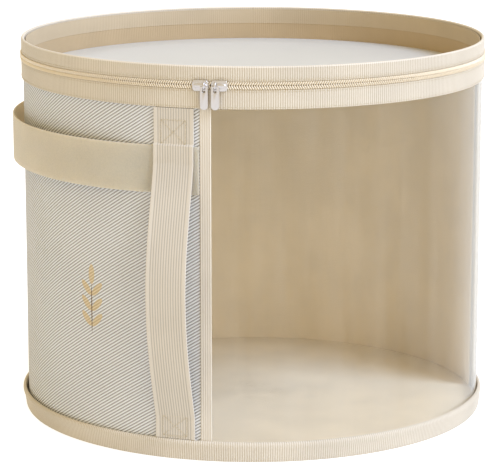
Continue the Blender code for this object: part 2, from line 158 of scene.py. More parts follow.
class HatBoxSizes(bpy.types.PropertyGroup):
    """Thread and tooth spacings, and how far the straps stand off."""

    rib_pitch: length_prop("Grosgrain rib", 0.0019, "Spacing of the ribs in the grosgrain bands")
    rib_depth: length_prop("Rib depth", 0.00022, "How deep the grosgrain ribs are")
    twill_pitch: length_prop("Twill line", 0.0027, "Height between two diagonal twill lines")
    webbing_pitch: length_prop("Webbing rib", 0.0022, "Spacing of the handle's lengthwise ribs")
    tooth_pitch: length_prop("Zip tooth", 0.0020, "Spacing of the teeth of the zip")
    stitch_pitch: length_prop("Stitch", 0.0032, "Spacing of the stitches in a sewn row")
    handle_bow: length_prop("Handle bow", 0.0220, "How far the handle stands off the wall")
    strap_bow: length_prop("Side strap bow", 0.0080, "How far the side strap stands off the wall")


class HatBoxColours(bpy.types.PropertyGroup):
    """The colours of the cloths, film, thread and metal."""

    grosgrain: colour_prop("Grosgrain", "#E0D6C6", "Ribbed cream bands")
    groove: colour_prop("Grosgrain groove", "#C3B59D", "Shade between the ribs")
    facing: colour_prop("Facing", "#C4B193", "Inner face of the rim, above its seam")
    facing_low: colour_prop("Facing, low", "#BCA480", "Inner face of the rim, under its seam")
    twill: colour_prop("Twill", "#EFF0F1", "Raised lines of the wall cloth")
    twill_groove: colour_prop("Twill groove", "#9B9792", "Shade between the twill lines")
    print_tan: colour_prop("Print, light", "#E4CC9E", "Light colour of the printed shapes")
    print_brown: colour_prop("Print, dark", "#5F3D18", "Dark colour of the printed shapes")
    lining: colour_prop("Lining", "#F6E9D1", "Cloth inside the box")
    panel: colour_prop("Lid panel", "#E5E7E7", "Milky sheet of the lid")
    webbing: colour_prop("Webbing", "#DAD1C3", "Raised ribs of the handle")
    strap: colour_prop("Side strap", "#DECDB6", "Smooth side strap")
    tape: colour_prop("Zip tape", "#FBF2DF", "Tape beside the zip's teeth")
    coil: colour_prop("Zip teeth", "#F8EAD2", "Nylon teeth")
    thread: colour_prop("Thread", "#D8CBB0", "Sewing thread")
    metal: colour_prop("Slider metal", "#E2DEDE", "Plated zinc")
    floor: colour_prop("Floor", "#CCCCCB", "Studio floor")


def add_node(tree, kind, settings=None, inputs=None):
    """Adds a node with its settings; an input takes a value or the socket to link to it."""
    made = tree.nodes.new(kind)
    for name, value in (settings or {}).items():
        setattr(made, name, value)
    for key, value in (inputs or {}).items():
        if isinstance(value, bpy.types.NodeSocket):
            tree.links.new(value, made.inputs[key])
        else:
            made.inputs[key].default_value = value
    return made


def maths(tree, operation, *values):
    """The result of a Math node on sockets and numbers."""
    return add_node(tree, "ShaderNodeMath", {"operation": operation}, dict(enumerate(values))).outputs[0]


def mixed(tree, share, first, second, blend="MIX"):
    """A colour between two, each a socket or three numbers."""
    pair = [c if isinstance(c, bpy.types.NodeSocket) else (*c, 1) for c in (first, second)]
    settings = {"data_type": "RGBA", "blend_type": blend}
    return add_node(
        tree, "ShaderNodeMix", settings, {"Factor": share, 6: pair[0], 7: pair[1]}
    ).outputs[2]


def ramp(tree, value, low, high, to_low=0.0, to_high=1.0):
    """A value moved smoothly from one range to another, and held at its ends."""
    inputs = {"Value": value, 1: low, 2: high, 3: to_low, 4: to_high}
    return add_node(tree, "ShaderNodeMapRange", {"interpolation_type": "SMOOTHSTEP"}, inputs).outputs[0]


def wave(tree, distance, pitch):
    """0 to 1 and back once every pitch."""
    turns = maths(tree, "MULTIPLY", distance, 2 * math.pi / pitch)
    return maths(tree, "MULTIPLY_ADD", maths(tree, "COSINE", turns), 0.5, 0.5)


def noise(tree, place, scale, detail=2.0, roughness=0.5):
    inputs = {"Vector": place, "Scale": scale, "Detail": detail, "Roughness": roughness}
    return add_node(tree, "ShaderNodeTexNoise", None, inputs).outputs[0]


def object_place(tree):
    return add_node(tree, "ShaderNodeTexCoord").outputs["Object"]


def wall_place(tree, radius=BAND_RADIUS):
    """Metres along the wall, height, and the plain place, all on Object coordinates."""
    place = object_place(tree)
    axes = add_node(tree, "ShaderNodeSeparateXYZ", None, {0: place}).outputs
    front = maths(tree, "MULTIPLY", axes[1], -1)
    along = maths(tree, "MULTIPLY", maths(tree, "ARCTAN2", axes[0], front), radius)
    return along, axes[2], place


def cloth_place(tree):
    """Metres across and along a piece, from its own cloth map, and its plain place."""
    place = add_node(tree, "ShaderNodeUVMap", {"uv_map": "cloth"}).outputs[0]
    axes = add_node(tree, "ShaderNodeSeparateXYZ", None, {0: place}).outputs
    return axes[0], axes[1], place


def new_material(name):
    material = bpy.data.materials.new(name)
    material.use_nodes = True
    tree = material.node_tree
    return material, tree, tree.nodes["Principled BSDF"]


def tinted(colour, share):
    """A plain colour made darker or paler."""
    return [min(1.0, c * share) for c in colour]


def set_shader(tree, shader, **values):
    """Sets a constant on the shader's own socket or links a pattern to it; _ stands for a space."""
    for name, value in values.items():
        socket = shader.inputs[name.replace("_", " ")]
        if isinstance(value, bpy.types.NodeSocket):
            tree.links.new(value, socket)
        else:
            socket.default_value = value


def stretched(tree, along, up, scale):
    """A place on the flattened wall, scaled along it and up it."""
    flat = add_node(tree, "ShaderNodeCombineXYZ", None, {0: along, 1: up}).outputs[0]
    inputs = {"Vector": flat, "Scale": (*scale, 1.0)}
    return add_node(tree, "ShaderNodeMapping", None, inputs).outputs[0]


def relief(tree, shader, height, depth):
    """Joins a height pattern, 0 to 1, to the shader's normal; depth is in metres."""
    bump = add_node(tree, "ShaderNodeBump", None, {"Strength": 1.0, "Distance": depth, "Height": height})
    tree.links.new(bump.outputs[0], shader.inputs["Normal"])


def worn(tree, place, colour, spread=0.06):
    """A colour with slow, faint patches, as cloth has where its dye took unevenly."""
    patches = noise(tree, place, 18.0, 3.0)
    shade = ramp(tree, patches, 0.3, 0.7, 1 - spread, 1 + spread / 2)
    grey = add_node(tree, "ShaderNodeCombineColor", None, {0: shade, 1: shade, 2: shade}).outputs[0]
    return mixed(tree, 1.0, colour, grey, "MULTIPLY")


def ribbed_cloth(name, top, groove, pitch, on_own_map=False, above=None):
    """Grosgrain polyester: round ribs across the ribbon, wrapped by fine warp threads.

    The ribs catch light along their tops, with painted shade in the grooves; warp threads of 0.35 mm
    show only close by. Polyester has an IOR near 1.56 and a dry, slightly silky face.
    """
    material, tree, shader = new_material(name)
    along, up, place = cloth_place(tree) if on_own_map else wall_place(tree)
    rib = wave(tree, along, pitch)
    warp = wave(tree, up, 0.0007)
    grain = noise(tree, place, 900.0, 2.0)
    thread = maths(tree, "MULTIPLY_ADD", warp, 0.25, maths(tree, "MULTIPLY", grain, 0.35))
    height = maths(tree, "MULTIPLY_ADD", rib, 0.7, thread)
    # Painted shade: the colour falls from the top colour to the groove colour where the ribs and warp
    # threads are low, mixed with a random grain.
    colour = mixed(tree, ramp(tree, height, 0.2, 0.95), groove, top)
    # above lays another colour over the cloth from a height up: a painted highlight along the top of the
    # rim's roll, or the facing's own colour above its seam.
    if above:
        start, share, pale = above
        higher = ramp(tree, up, start, start + 0.0006, 0.0, share)
        colour = mixed(tree, higher, colour, pale)
    colour = worn(tree, place, colour)
    rough = ramp(tree, height, 0.0, 1.0, 0.88, 0.72)
    set_shader(tree, shader, Base_Color=colour, Roughness=rough, IOR=POLYESTER_IOR)
    set_shader(tree, shader, Sheen_Weight=0.12, Sheen_Roughness=0.5)
    relief(tree, shader, height, 0.00016)
    return material


def woven_cloth(name, colour, thread_pitch=0.0009, sheen=0.1, glow=0.0, shade=0.80):
    """Plain-weave polyester: threads cross one over one, so it reads as a fine even grain.

    Its threads are 0.3 mm apart and drawn at about three times that, the least that shows.
    shade is the brightness of the painted shade between the threads, and glow the light that
    soaks into thick cloth.
    """
    material, tree, shader = new_material(name)
    along, up, place = wall_place(tree)
    warp = wave(tree, along, thread_pitch)
    weft = wave(tree, up, thread_pitch)
    grain = noise(tree, place, 700.0, 2.0)
    weave = maths(tree, "MAXIMUM", warp, weft)
    height = maths(tree, "MULTIPLY_ADD", grain, 0.5, maths(tree, "MULTIPLY", weave, 0.5))
    # Painted shade between the threads: the colour falls to shade times itself where the weave is low,
    # mixed with a random grain.
    weave_shaded = mixed(tree, ramp(tree, height, 0.25, 0.8), tinted(colour, shade), colour)
    rough = ramp(tree, height, 0, 1, 0.92, 0.78)
    set_shader(tree, shader, Base_Color=worn(tree, place, weave_shaded), Roughness=rough)
    set_shader(tree, shader, IOR=POLYESTER_IOR, Sheen_Weight=sheen)
    relief(tree, shader, height, 0.00012)
    if glow:
        set_shader(tree, shader, Subsurface_Weight=glow, Subsurface_Scale=0.010)
        set_shader(tree, shader, Subsurface_Radius=(1.0, 0.8, 0.6))
    return material


def spot(tree, along, up, centre, size, turn=0.0):
    """1 inside an ellipse printed on the wall, 0 outside; centre is an azimuth and a height."""
    flat = add_node(tree, "ShaderNodeCombineXYZ", None, {0: along, 1: up}).outputs[0]
    middle = (math.radians(centre[0]) * BAND_RADIUS, centre[1], 0)
    inputs = {"Vector": flat, "Location": middle, "Rotation": (0, 0, math.radians(turn))}
    inputs["Scale"] = (*size, 1)
    local = add_node(tree, "ShaderNodeMapping", {"vector_type": "TEXTURE"}, inputs).outputs[0]
    away = add_node(tree, "ShaderNodeVectorMath", {"operation": "LENGTH"}, {0: local}).outputs[1]
    return ramp(tree, away, 0.93, 1.07, 1.0, 0.0)


def any_of(tree, shares):
    """The greatest of several shares."""
    most = shares[0]
    for share in shares[1:]:
        most = maths(tree, "MAXIMUM", most, share)
    return most


def sprig(tree, along, up, azimuth, low):
    """The leaves and the stem of a plain printed sprig, each as a share of ink."""
    stem_half = 0.0210
    stem = spot(tree, along, up, (azimuth, low + stem_half), (0.0006, stem_half))
    leaves = [spot(tree, along, up, (azimuth, low + 0.050), (0.0034, 0.0085))]
    for pair in range(3):
        for side in (-1, 1):
            centre = (azimuth + side * 1.7, low + 0.012 + pair * 0.013)
            leaves.append(spot(tree, along, up, centre, (0.0030, 0.0080), side * -45))
    return any_of(tree, leaves), stem


def twill_cloth(name, sizes, colours):
    """Polyester twill: raised diagonal lines that climb to the right, with dark painted shade between.

    The lines are 2.7 mm apart, upright, and each is crossed by finer threads. A plain sprig of
    leaves is printed on it, with the grooves' painted shade laid over the ink so that they still show.
    """
    material, tree, shader = new_material(name)
    along, up, place = wall_place(tree)
    slope = 0.61
    climb = maths(tree, "MULTIPLY_ADD", along, -slope, up)
    sway = maths(tree, "MULTIPLY", noise(tree, place, 30.0, 2.0), 0.0008)
    line = wave(tree, maths(tree, "ADD", climb, sway), sizes.twill_pitch)
    across = wave(tree, maths(tree, "MULTIPLY_ADD", up, slope, along), 0.0012)
    grain = noise(tree, place, 800.0, 2.0)
    fine = maths(tree, "MULTIPLY_ADD", across, 0.12, maths(tree, "MULTIPLY", grain, 0.2))
    height = maths(tree, "MULTIPLY_ADD", line, 0.8, fine)
    share = ramp(tree, height, 0.12, 0.75)
    # Painted shade: the cloth darkens to the groove colour between the twill lines.
    cloth = mixed(tree, share, colours.twill_groove, colours.twill)
    leaves, stem = sprig(tree, along, up, -42.0, 0.095)
    tan = mixed(tree, maths(tree, "MULTIPLY", leaves, 0.85), cloth, colours.print_tan)
    # The brown ink is paler on the twill's ridges, with some of the tan in it.
    ridge_share = maths(tree, "MULTIPLY", share, 0.2)
    brown = mixed(tree, ridge_share, colours.print_brown, colours.print_tan)
    printed = mixed(tree, stem, tan, brown)
    # Painted shade over the print: the ink is darkened in the twill's grooves.
    shaded = mixed(tree, share, [0.72, 0.70, 0.66], [1.0, 1.0, 1.0])
    either = maths(tree, "MAXIMUM", leaves, stem)
    inked = mixed(tree, 1.0, printed, shaded, "MULTIPLY")
    final = mixed(tree, either, cloth, inked)
    rough = ramp(tree, height, 0, 1, 0.9, 0.74)
    set_shader(tree, shader, Base_Color=worn(tree, place, final, 0.03), Roughness=rough)
    set_shader(tree, shader, IOR=POLYESTER_IOR, Sheen_Weight=0.1)
    relief(tree, shader, height, 0.00045)
    return material


def webbing_cloth(name, colour, rib_pitch):
    """Polyester webbing: lengthwise ribs between two smooth selvedges, on the strap's own map.

    The ribs are in the mesh, with painted shade in the grooves between them to match; each is crossed
    every 1.1 mm by the weft, which gives the small steps that break up its highlight.
    """
    material, tree, shader = new_material(name)
    across, along, place = cloth_place(tree)
    rib = wave(tree, maths(tree, "ADD", across, rib_pitch / 2), rib_pitch)
    outside = ramp(tree, maths(tree, "ABSOLUTE", across), 0.0138, 0.0145)
    ridge = maths(tree, "MAXIMUM", rib, outside)
    weft = wave(tree, along, 0.0011)
    grain = noise(tree, place, 800.0, 2.0)
    fine = maths(tree, "MULTIPLY_ADD", weft, 0.2, maths(tree, "MULTIPLY", grain, 0.5))
    height = maths(tree, "MULTIPLY_ADD", ridge, 0.8, maths(tree, "MULTIPLY", fine, 0.3))
    # Painted shade: the colour falls to 0.66 of itself in the grooves between the ribs; the selvedges
    # keep it whole.
    weave_shaded = mixed(tree, ramp(tree, height, 0.05, 0.75), tinted(colour, 0.66), colour)
    rough = ramp(tree, height, 0, 1, 0.9, 0.75)
    set_shader(tree, shader, Base_Color=worn(tree, place, weave_shaded, 0.04), Roughness=rough)
    set_shader(tree, shader, IOR=POLYESTER_IOR, Sheen_Weight=0.12)
    relief(tree, shader, fine, 0.00005)
    return material


def clear_film(name):
    """PVC film, pressed clear: nearly all light goes straight through, IOR 1.53.

    It mirrors a little face on and much more at a glancing angle, with a faint milky haze that
    gathers in slow streaks where the film was rolled.
    """
    material, tree, shader = new_material(name)
    along, up, _ = wall_place(tree)
    streaks = noise(tree, stretched(tree, along, up, (12.0, 1.2)), 4.0, 2.0)
    facing = add_node(tree, "ShaderNodeLayerWeight", None, {"Blend": 0.5}).outputs["Facing"]
    glance = maths(tree, "POWER", facing, 5.0)
    haze = ramp(tree, streaks, 0.3, 0.75, 0.012, 0.035)
    cover = maths(tree, "MULTIPLY_ADD", glance, 0.8, haze)
    rough = ramp(tree, streaks, 0.3, 0.75, 0.05, 0.12)
    set_shader(tree, shader, Base_Color=(*linear("#F4F2EC"), 1), Roughness=rough, IOR=PVC_IOR)
    set_shader(tree, shader, Coat_Weight=0.6, Coat_Roughness=0.03)
    clear = {"Color": (*linear("#FEFDFB"), 1)}
    through = add_node(tree, "ShaderNodeBsdfTransparent", None, clear).outputs[0]
    parts = {0: cover, 1: through, 2: shader.outputs[0]}
    both = add_node(tree, "ShaderNodeMixShader", None, parts).outputs[0]
    tree.links.new(both, tree.nodes["Material Output"].inputs["Surface"])
    return material


def milky_sheet(name, colour):
    """Frosted PVC sheet: cloudy white, with a soft satin face and slow waves from rolling."""
    material, tree, shader = new_material(name)
    place = object_place(tree)
    clouds = noise(tree, place, 9.0, 3.0)
    dust = noise(tree, place, 1400.0, 2.0)
    milk = mixed(tree, clouds, tinted(colour, 0.96), tinted(colour, 1.04))
    rough = ramp(tree, dust, 0.3, 0.7, 0.30, 0.42)
    set_shader(tree, shader, Base_Color=milk, Roughness=rough, IOR=PVC_IOR)
    set_shader(tree, shader, Transmission_Weight=0.15)
    height = maths(tree, "MULTIPLY_ADD", dust, 0.05, clouds)
    relief(tree, shader, height, 0.0006)
    return material


def moulded_board(name, colour):
    """Polypropylene board, calendered: matt off-white with a fine pebble of about 0.5 mm."""
    material, tree, shader = new_material(name)
    place = object_place(tree)
    pebble = noise(tree, place, 1200.0, 2.0)
    rough = ramp(tree, pebble, 0.3, 0.7, 0.5, 0.65)
    colour = worn(tree, place, colour, 0.04)
    set_shader(tree, shader, Base_Color=colour, Roughness=rough, IOR=1.49)
    relief(tree, shader, pebble, 0.00005)
    return material


def nylon_coil(name, colour):
    """Nylon monofilament, drawn: smooth and slightly waxy, so each tooth has a soft highlight."""
    material, tree, shader = new_material(name)
    place = object_place(tree)
    drawn = noise(tree, place, 600.0, 2.0)
    nylon = mixed(tree, drawn, tinted(colour, 0.9), colour)
    rough = ramp(tree, drawn, 0.3, 0.7, 0.34, 0.48)
    set_shader(tree, shader, Base_Color=nylon, Roughness=rough, IOR=1.53)
    return material


def plated_zinc(name, colour):
    """Die-cast zinc with a satin silver plating: bright, with soft small dents and rub marks."""
    material, tree, shader = new_material(name)
    place = object_place(tree)
    dents = noise(tree, place, 160.0, 1.0)
    rubs = noise(tree, place, 700.0, 2.0)
    # Painted shade: the plating darkens to 0.86 of its colour in its dents.
    plating = mixed(tree, dents, tinted(colour, 0.86), colour)
    rough = ramp(tree, rubs, 0.3, 0.7, 0.28, 0.36)
    set_shader(tree, shader, Base_Color=plating, Roughness=rough, Metallic=0.85)
    relief(tree, shader, dents, 0.00004)
    return material


def spring_steel(name):
    """Tempered steel strip, rolled: grey-blue with fine lines along the strip."""
    material, tree, shader = new_material(name)
    along, up, _ = wall_place(tree)
    lines = noise(tree, stretched(tree, along, up, (20.0, 4000.0)), 1.0, 2.0)
    colour = mixed(tree, lines, linear("#7C7C7A"), linear("#9A9A96"))
    rough = ramp(tree, lines, 0.3, 0.7, 0.28, 0.45)
    set_shader(tree, shader, Base_Color=colour, Roughness=rough, Metallic=1.0)
    return material


def spun_thread(name, colour):
    """Spun polyester thread: matt, with the twist of its plies every 0.8 mm."""
    material, tree, shader = new_material(name)
    along, up, _ = wall_place(tree)
    twist = wave(tree, maths(tree, "ADD", along, up), 0.0008)
    # Painted shade: the thread darkens to 0.8 of its colour in the grooves between its plies.
    spun = mixed(tree, twist, tinted(colour, 0.8), colour)
    rough = ramp(tree, twist, 0, 1, 0.85, 0.7)
    set_shader(tree, shader, Base_Color=spun, Roughness=rough)
    set_shader(tree, shader, IOR=POLYESTER_IOR, Sheen_Weight=0.2)
    relief(tree, shader, twist, 0.00004)
    return material


def studio_floor(name, colour):
    """Opal acrylic floor, lit a little from below: matt white, hardly marked, pale shadows."""
    material, tree, shader = new_material(name)
    place = object_place(tree)
    marks = noise(tree, place, 3.0, 2.0)
    opal = mixed(tree, marks, colour, tinted(colour, 1.01))
    rough = ramp(tree, marks, 0.3, 0.7, 0.85, 0.95)
    seen = add_node(tree, "ShaderNodeLightPath").outputs["Is Camera Ray"]
    lit = maths(tree, "MULTIPLY_ADD", seen, 0.45, 0.35)
    set_shader(tree, shader, Base_Color=opal, Roughness=rough)
    set_shader(tree, shader, Emission_Color=(1, 1, 1, 1), Emission_Strength=lit)
    return material


def finish_of(kind):
    """The material of that kind, made once."""
    sizes = bpy.context.scene.hat_box_sizes
    colours = bpy.context.scene.hat_box_colours
    ribs = (colours.grosgrain, colours.groove, sizes.rib_pitch)
    low_facing = (colours.facing_low, colours.facing_low, sizes.rib_pitch)
    # Painted shade in the binding's rib grooves: 0.88 of the grosgrain colour.
    bound = (colours.grosgrain, tinted(colours.grosgrain, 0.88), sizes.rib_pitch)
    # Painted highlight: the top half of the rim's roll is paler, 0.6 of the way to a near-white cream.
    rim_highlight = (HEIGHT - 0.0014, 0.6, linear("#EFE6D8"))
    above_seam = (ZIP_Z + 0.0001, 1.0, colours.facing)
    kinds = {
        "grosgrain": ("grosgrain polyester", ribbed_cloth, *ribs),
        "rim": ("grosgrain polyester, rolled edge", ribbed_cloth, *ribs, False, rim_highlight),
        "binding": ("grosgrain polyester, binding", ribbed_cloth, *bound),
        "facing": ("grosgrain polyester, facing", ribbed_cloth, *low_facing, False, above_seam),
        "hinge": ("grosgrain polyester, hinge", ribbed_cloth, *ribs, True),
        "piping": ("polyester piping", woven_cloth, linear("#F6EEDF"), 0.0008),
        "twill": ("printed polyester twill", twill_cloth, sizes, colours),
        "base": ("plain-weave polyester, base", woven_cloth, colours.twill, 0.0012),
        "lining": ("plain-weave polyester, lining", woven_cloth, colours.lining, 0.0012, 0.1, 0, 0.92),
        "tape": ("woven zip tape", woven_cloth, colours.tape, 0.0008),
        "strap": ("flat polyester webbing", woven_cloth, colours.strap, 0.0009, 0.15, 0.7),
        "webbing": ("ribbed polyester webbing", webbing_cloth, colours.webbing, sizes.webbing_pitch),
        "film": ("clear PVC film", clear_film),
        "milky": ("frosted PVC sheet", milky_sheet, colours.panel),
        "board": ("polypropylene board", moulded_board, linear("#E9E6DF")),
        "coil": ("nylon monofilament coil", nylon_coil, colours.coil),
        "zinc": ("satin plated zinc", plated_zinc, colours.metal),
        "steel": ("tempered spring steel", spring_steel),
        "thread": ("spun polyester thread", spun_thread, colours.thread),
    }
    name, maker, *inputs = kinds[kind]
    return bpy.data.materials.get(name) or maker(name, *inputs)


# --- modelling ---------------------------------------------------------------------------


def deselect():
    """Leaves edit mode and deselects everything."""
    if bpy.context.object and bpy.context.object.mode != "OBJECT":
        bpy.ops.object.mode_set(mode="OBJECT")
    bpy.ops.object.select_all(action="DESELECT")


def pick(piece):
    """Selects one piece alone and makes it active."""
    deselect()
    piece.select_set(True)
    bpy.context.view_layer.objects.active = piece


def into_edit(piece):
    """Edit mode on one piece, with nothing in it selected."""
    pick(piece)
    bpy.ops.object.mode_set(mode="EDIT")
    bpy.ops.mesh.select_all(action="DESELECT")


def out_of_edit():
    bpy.ops.object.mode_set(mode="OBJECT")


def apply_place(piece):
    pick(piece)
    bpy.ops.object.transform_apply(location=True, rotation=True, scale=True)


def outward(piece):
    into_edit(piece)
    bpy.ops.mesh.select_all(action="SELECT")
    bpy.ops.mesh.remove_doubles(threshold=0.000001)
    bpy.ops.mesh.normals_make_consistent(inside=False)
    out_of_edit()


def apply_modifier(piece, kind, **settings):
    """Adds a modifier with its settings and applies it."""
    pick(piece)
    modifier = piece.modifiers.new(kind.lower(), kind)
    for name, value in settings.items():
        setattr(modifier, name, value)
    bpy.ops.object.modifier_apply(modifier=modifier.name)


def select_by(piece, part, rule):
    """Selects the vertices, edges or faces that a rule on their middle picks, in edit mode."""
    kinds = {"VERT": "vertices", "EDGE": "edges", "FACE": "polygons"}
    into_edit(piece)
    bpy.ops.mesh.select_mode(type=part)
    out_of_edit()
    mesh = piece.data
    for item in getattr(mesh, kinds[part]):
        item.select = bool(rule(mesh, item))
    bpy.ops.object.mode_set(mode="EDIT")


def select_edges(piece, rule):
    """Selects the edges that a rule on their two ends picks, in edit mode."""
    select_by(piece, "EDGE", lambda mesh, edge: rule(*(mesh.vertices[i].co for i in edge.vertices)))


def bevel_edges(piece, rule, offset, segments):
    """Rounds the edges that a rule on their two ends picks."""
    select_edges(piece, rule)
    bpy.ops.mesh.bevel(offset=offset, segments=segments)
    out_of_edit()


def round_edges(piece, width, segments=2):
    """Rounds every edge sharper than 50 degrees."""
    limit = {"limit_method": "ANGLE", "angle_limit": math.radians(50)}
    apply_modifier(piece, "BEVEL", width=width, segments=segments, **limit)


def block(place, size):
    """A box of that size round a place, ready to be shaped."""
    deselect()
    bpy.ops.mesh.primitive_cube_add(size=1, location=place)
    piece = bpy.context.object
    piece.scale = size
    apply_place(piece)
    return piece


def join(first, others):
    pick(first)
    for piece in others:
        piece.select_set(True)
    bpy.ops.object.join()
    return first


def finish(piece, name, kind, body, nodes=(), smooth=35):
    """Names a piece, gives it its material and puts it on its body."""
    apply_place(piece)
    piece.name = name
    piece.data.name = name
    bpy.ops.object.shade_smooth_by_angle(angle=math.radians(smooth))
    piece.data.materials.clear()
    piece.data.materials.append(finish_of(kind))
    if body:
        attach(piece, body)
    if nodes:
        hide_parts(*nodes)
    return piece


def turned(stops, steps=ROUND_STEPS):
    """A full ring: a circle extruded from stop to stop, (radius, z), then bridged to its start."""
    deselect()
    radius, z = stops[0]
    bpy.ops.mesh.primitive_circle_add(vertices=steps, radius=radius, fill_type="NOTHING")
    piece = bpy.context.object
    bpy.ops.object.mode_set(mode="EDIT")
    bpy.ops.mesh.select_mode(type="EDGE")
    bpy.ops.mesh.select_all(action="SELECT")
    bpy.ops.transform.translate(value=(0, 0, z))
    for next_radius, next_z in stops[1:]:
        move = {"value": (0, 0, next_z - z)}
        bpy.ops.mesh.extrude_edges_move(TRANSFORM_OT_translate=move)
        share = next_radius / radius
        bpy.ops.transform.resize(value=(share, share, 1), center_override=(0, 0, next_z))
        radius, z = next_radius, next_z
    bpy.ops.mesh.select_all(action="DESELECT")
    not_wanted = ("use_wire", "use_multi_face", "use_non_contiguous", "use_verts")
    bpy.ops.mesh.select_non_manifold(extend=False, **dict.fromkeys(not_wanted, False))
    bpy.ops.mesh.bridge_edge_loops()
    out_of_edit()
    outward(piece)
    return piece


def arc_stops(centre, radius, start, end, count):
    """Stops along an arc of a section, from one angle to another in degrees."""
    angles = [math.radians(start + (end - start) * i / count) for i in range(count + 1)]
    return [(centre[0] + radius * math.cos(a), centre[1] + radius * math.sin(a)) for a in angles]


def rib_count(sizes):
    return round(2 * math.pi * BAND_RADIUS / sizes.rib_pitch)


def groove_at(x, y, turns):
    """0 on the crest of a rib and 1 in the groove beside it."""
    return 0.5 - 0.5 * math.cos(math.atan2(x, -y) * turns)


def rib_rings(piece, sizes, low, high, least_radius):
    """Presses ribs into the outer face of a ring that has four steps to each rib."""
    turns = rib_count(sizes)
    for vertex in piece.data.vertices:
        x, y, z = vertex.co
        size = math.hypot(x, y)
        if low < z < high and size > least_radius:
            shrink = 1 - sizes.rib_depth * groove_at(x, y, turns) / size
            vertex.co = (x * shrink, y * shrink, z)


def strip(inner, outer, low, high, start, end, step=1.0):
    """An upright strip round part of the wall: its end section spun about the box's axis."""
    deselect()
    middle = (inner + outer) / 2
    angle = math.radians(start)
    bpy.ops.mesh.primitive_plane_add(
        size=1,
        location=(middle * math.sin(angle), -middle * math.cos(angle), (low + high) / 2),
        rotation=(0, math.pi / 2, angle),
    )
    piece = bpy.context.object
    piece.scale = (high - low, outer - inner, 1)
    apply_place(piece)
    into_edit(piece)
    bpy.ops.mesh.select_all(action="SELECT")
    bpy.ops.mesh.spin(
        steps=max(2, round((end - start) / step)),
        angle=-math.radians(end - start),
        center=(0, 0, 0),
        axis=(0, 0, 1),
    )
    out_of_edit()
    outward(piece)
    return piece


def cut_rows(piece, cuts, least):
    """Cuts a strip's upright edges into rows, so that it can bend."""
    select_edges(piece, lambda first, second: abs(first.z - second.z) > least)
    bpy.ops.mesh.subdivide(number_cuts=cuts)
    out_of_edit()


def map_cloth(piece, place):
    """Writes the cloth map: place gives each corner's metres across and along."""
    cloth = piece.data.uv_layers.get("cloth") or piece.data.uv_layers.new(name="cloth")
    for loop in piece.data.loops:
        cloth.data[loop.index].uv = place(piece.data.vertices[loop.vertex_index].co)


def disc(radius, low, high, edge):
    """A round sheet with rounded edges and rings of faces, so that it can sag a little."""
    deselect()
    bpy.ops.mesh.primitive_cylinder_add(
        vertices=ROUND_STEPS, radius=radius, depth=high - low, location=(0, 0, (low + high) / 2)
    )
    piece = bpy.context.object
    apply_place(piece)
    round_edges(piece, edge, 2)
    for _ in range(5):
        select_by(piece, "FACE", lambda mesh, face: len(face.vertices) > 4)
        bpy.ops.mesh.inset(thickness=radius / 6)
        out_of_edit()
    select_by(piece, "FACE", lambda mesh, face: len(face.vertices) > 4)
    bpy.ops.mesh.poke()
    out_of_edit()
    return piece


def ring_copies(piece, pitch, count):
    """Repeats a small part round the box's axis, pitch degrees apart."""
    deselect()
    bpy.ops.object.empty_add(location=(0, 0, 0))
    helper = bpy.context.object
    helper.rotation_euler.z = math.radians(pitch)
    bpy.context.view_layer.update()
    offset = {"use_relative_offset": False, "use_object_offset": True, "offset_object": helper}
    apply_modifier(piece, "ARRAY", count=count, **offset)
    bpy.data.objects.remove(helper, do_unlink=True)
    return piece


def turn_to(piece, azimuth):
    """Turns a piece made at the front round to an azimuth."""
    piece.rotation_euler.z = math.radians(azimuth)
    apply_place(piece)
    return piece


# --- the lid -----------------------------------------------------------------------------


class HATBOX_OT_lid_rim(bpy.types.Operator):
    """Adds the lid's ribbed band with its rolled edge, and the facing inside it"""

    bl_idname = "hatbox.lid_rim"
    bl_label = "Lid Rim"

    def execute(self, context):
        sizes = context.scene.hat_box_sizes
        cloth = BAND_CLOTH
        roll = 0.0014
        middle = (BAND_RADIUS - roll, HEIGHT - roll)
        fold_low = HEIGHT - 0.0078
        stops = [
            (BAND_RADIUS - cloth, LID_BAND_LOW),
            (BAND_RADIUS - 0.0002, LID_BAND_LOW),
            (BAND_RADIUS, LID_BAND_LOW + 0.0003),
            (BAND_RADIUS, LID_BAND_LOW + 0.0050),
        ]
        stops += arc_stops(middle, roll, 0, 180, 10)
        stops += [(BAND_RADIUS - 2 * roll, fold_low), (BAND_RADIUS - 2 * roll + cloth, fold_low)]
        stops += arc_stops(middle, roll - cloth, 180, 0, 6)
        band = turned(stops, 4 * rib_count(sizes))
        rib_rings(band, sizes, LID_BAND_LOW - 0.001, HEIGHT - 0.0012, BAND_RADIUS - 0.0005)
        finish(band, "rim_band", "rim", "lid", ["lid_band"])

        seam = ZIP_Z + 0.0002
        stops = [
            (BAND_RADIUS - 0.0040, HEIGHT - 0.0022),
            (BAND_RADIUS - 0.00357, LID_BAND_LOW + 0.0003),
            (BAND_RADIUS - 0.00455, BODY_BAND_TOP - 0.0015),
            (BAND_RADIUS - 0.00515, PANEL_LOW),
            (BAND_RADIUS - 0.00575, PANEL_LOW),
            (BAND_RADIUS - 0.00515, BODY_BAND_TOP - 0.0015),
            (BAND_RADIUS - 0.00460, seam - 0.0003),
            (BAND_RADIUS - 0.00482, seam),
            (BAND_RADIUS - 0.00480, seam + 0.0006),
            (BAND_RADIUS - 0.00450, LID_BAND_LOW + 0.0003),
            (BAND_RADIUS - 0.00465, HEIGHT - 0.0026),
            (BAND_RADIUS - 0.00445, HEIGHT - 0.0022),
        ]
        facing = turned(stops)
        finish(facing, "rim_facing", "facing", "lid", ["lid_facing"])
        return {"FINISHED"}


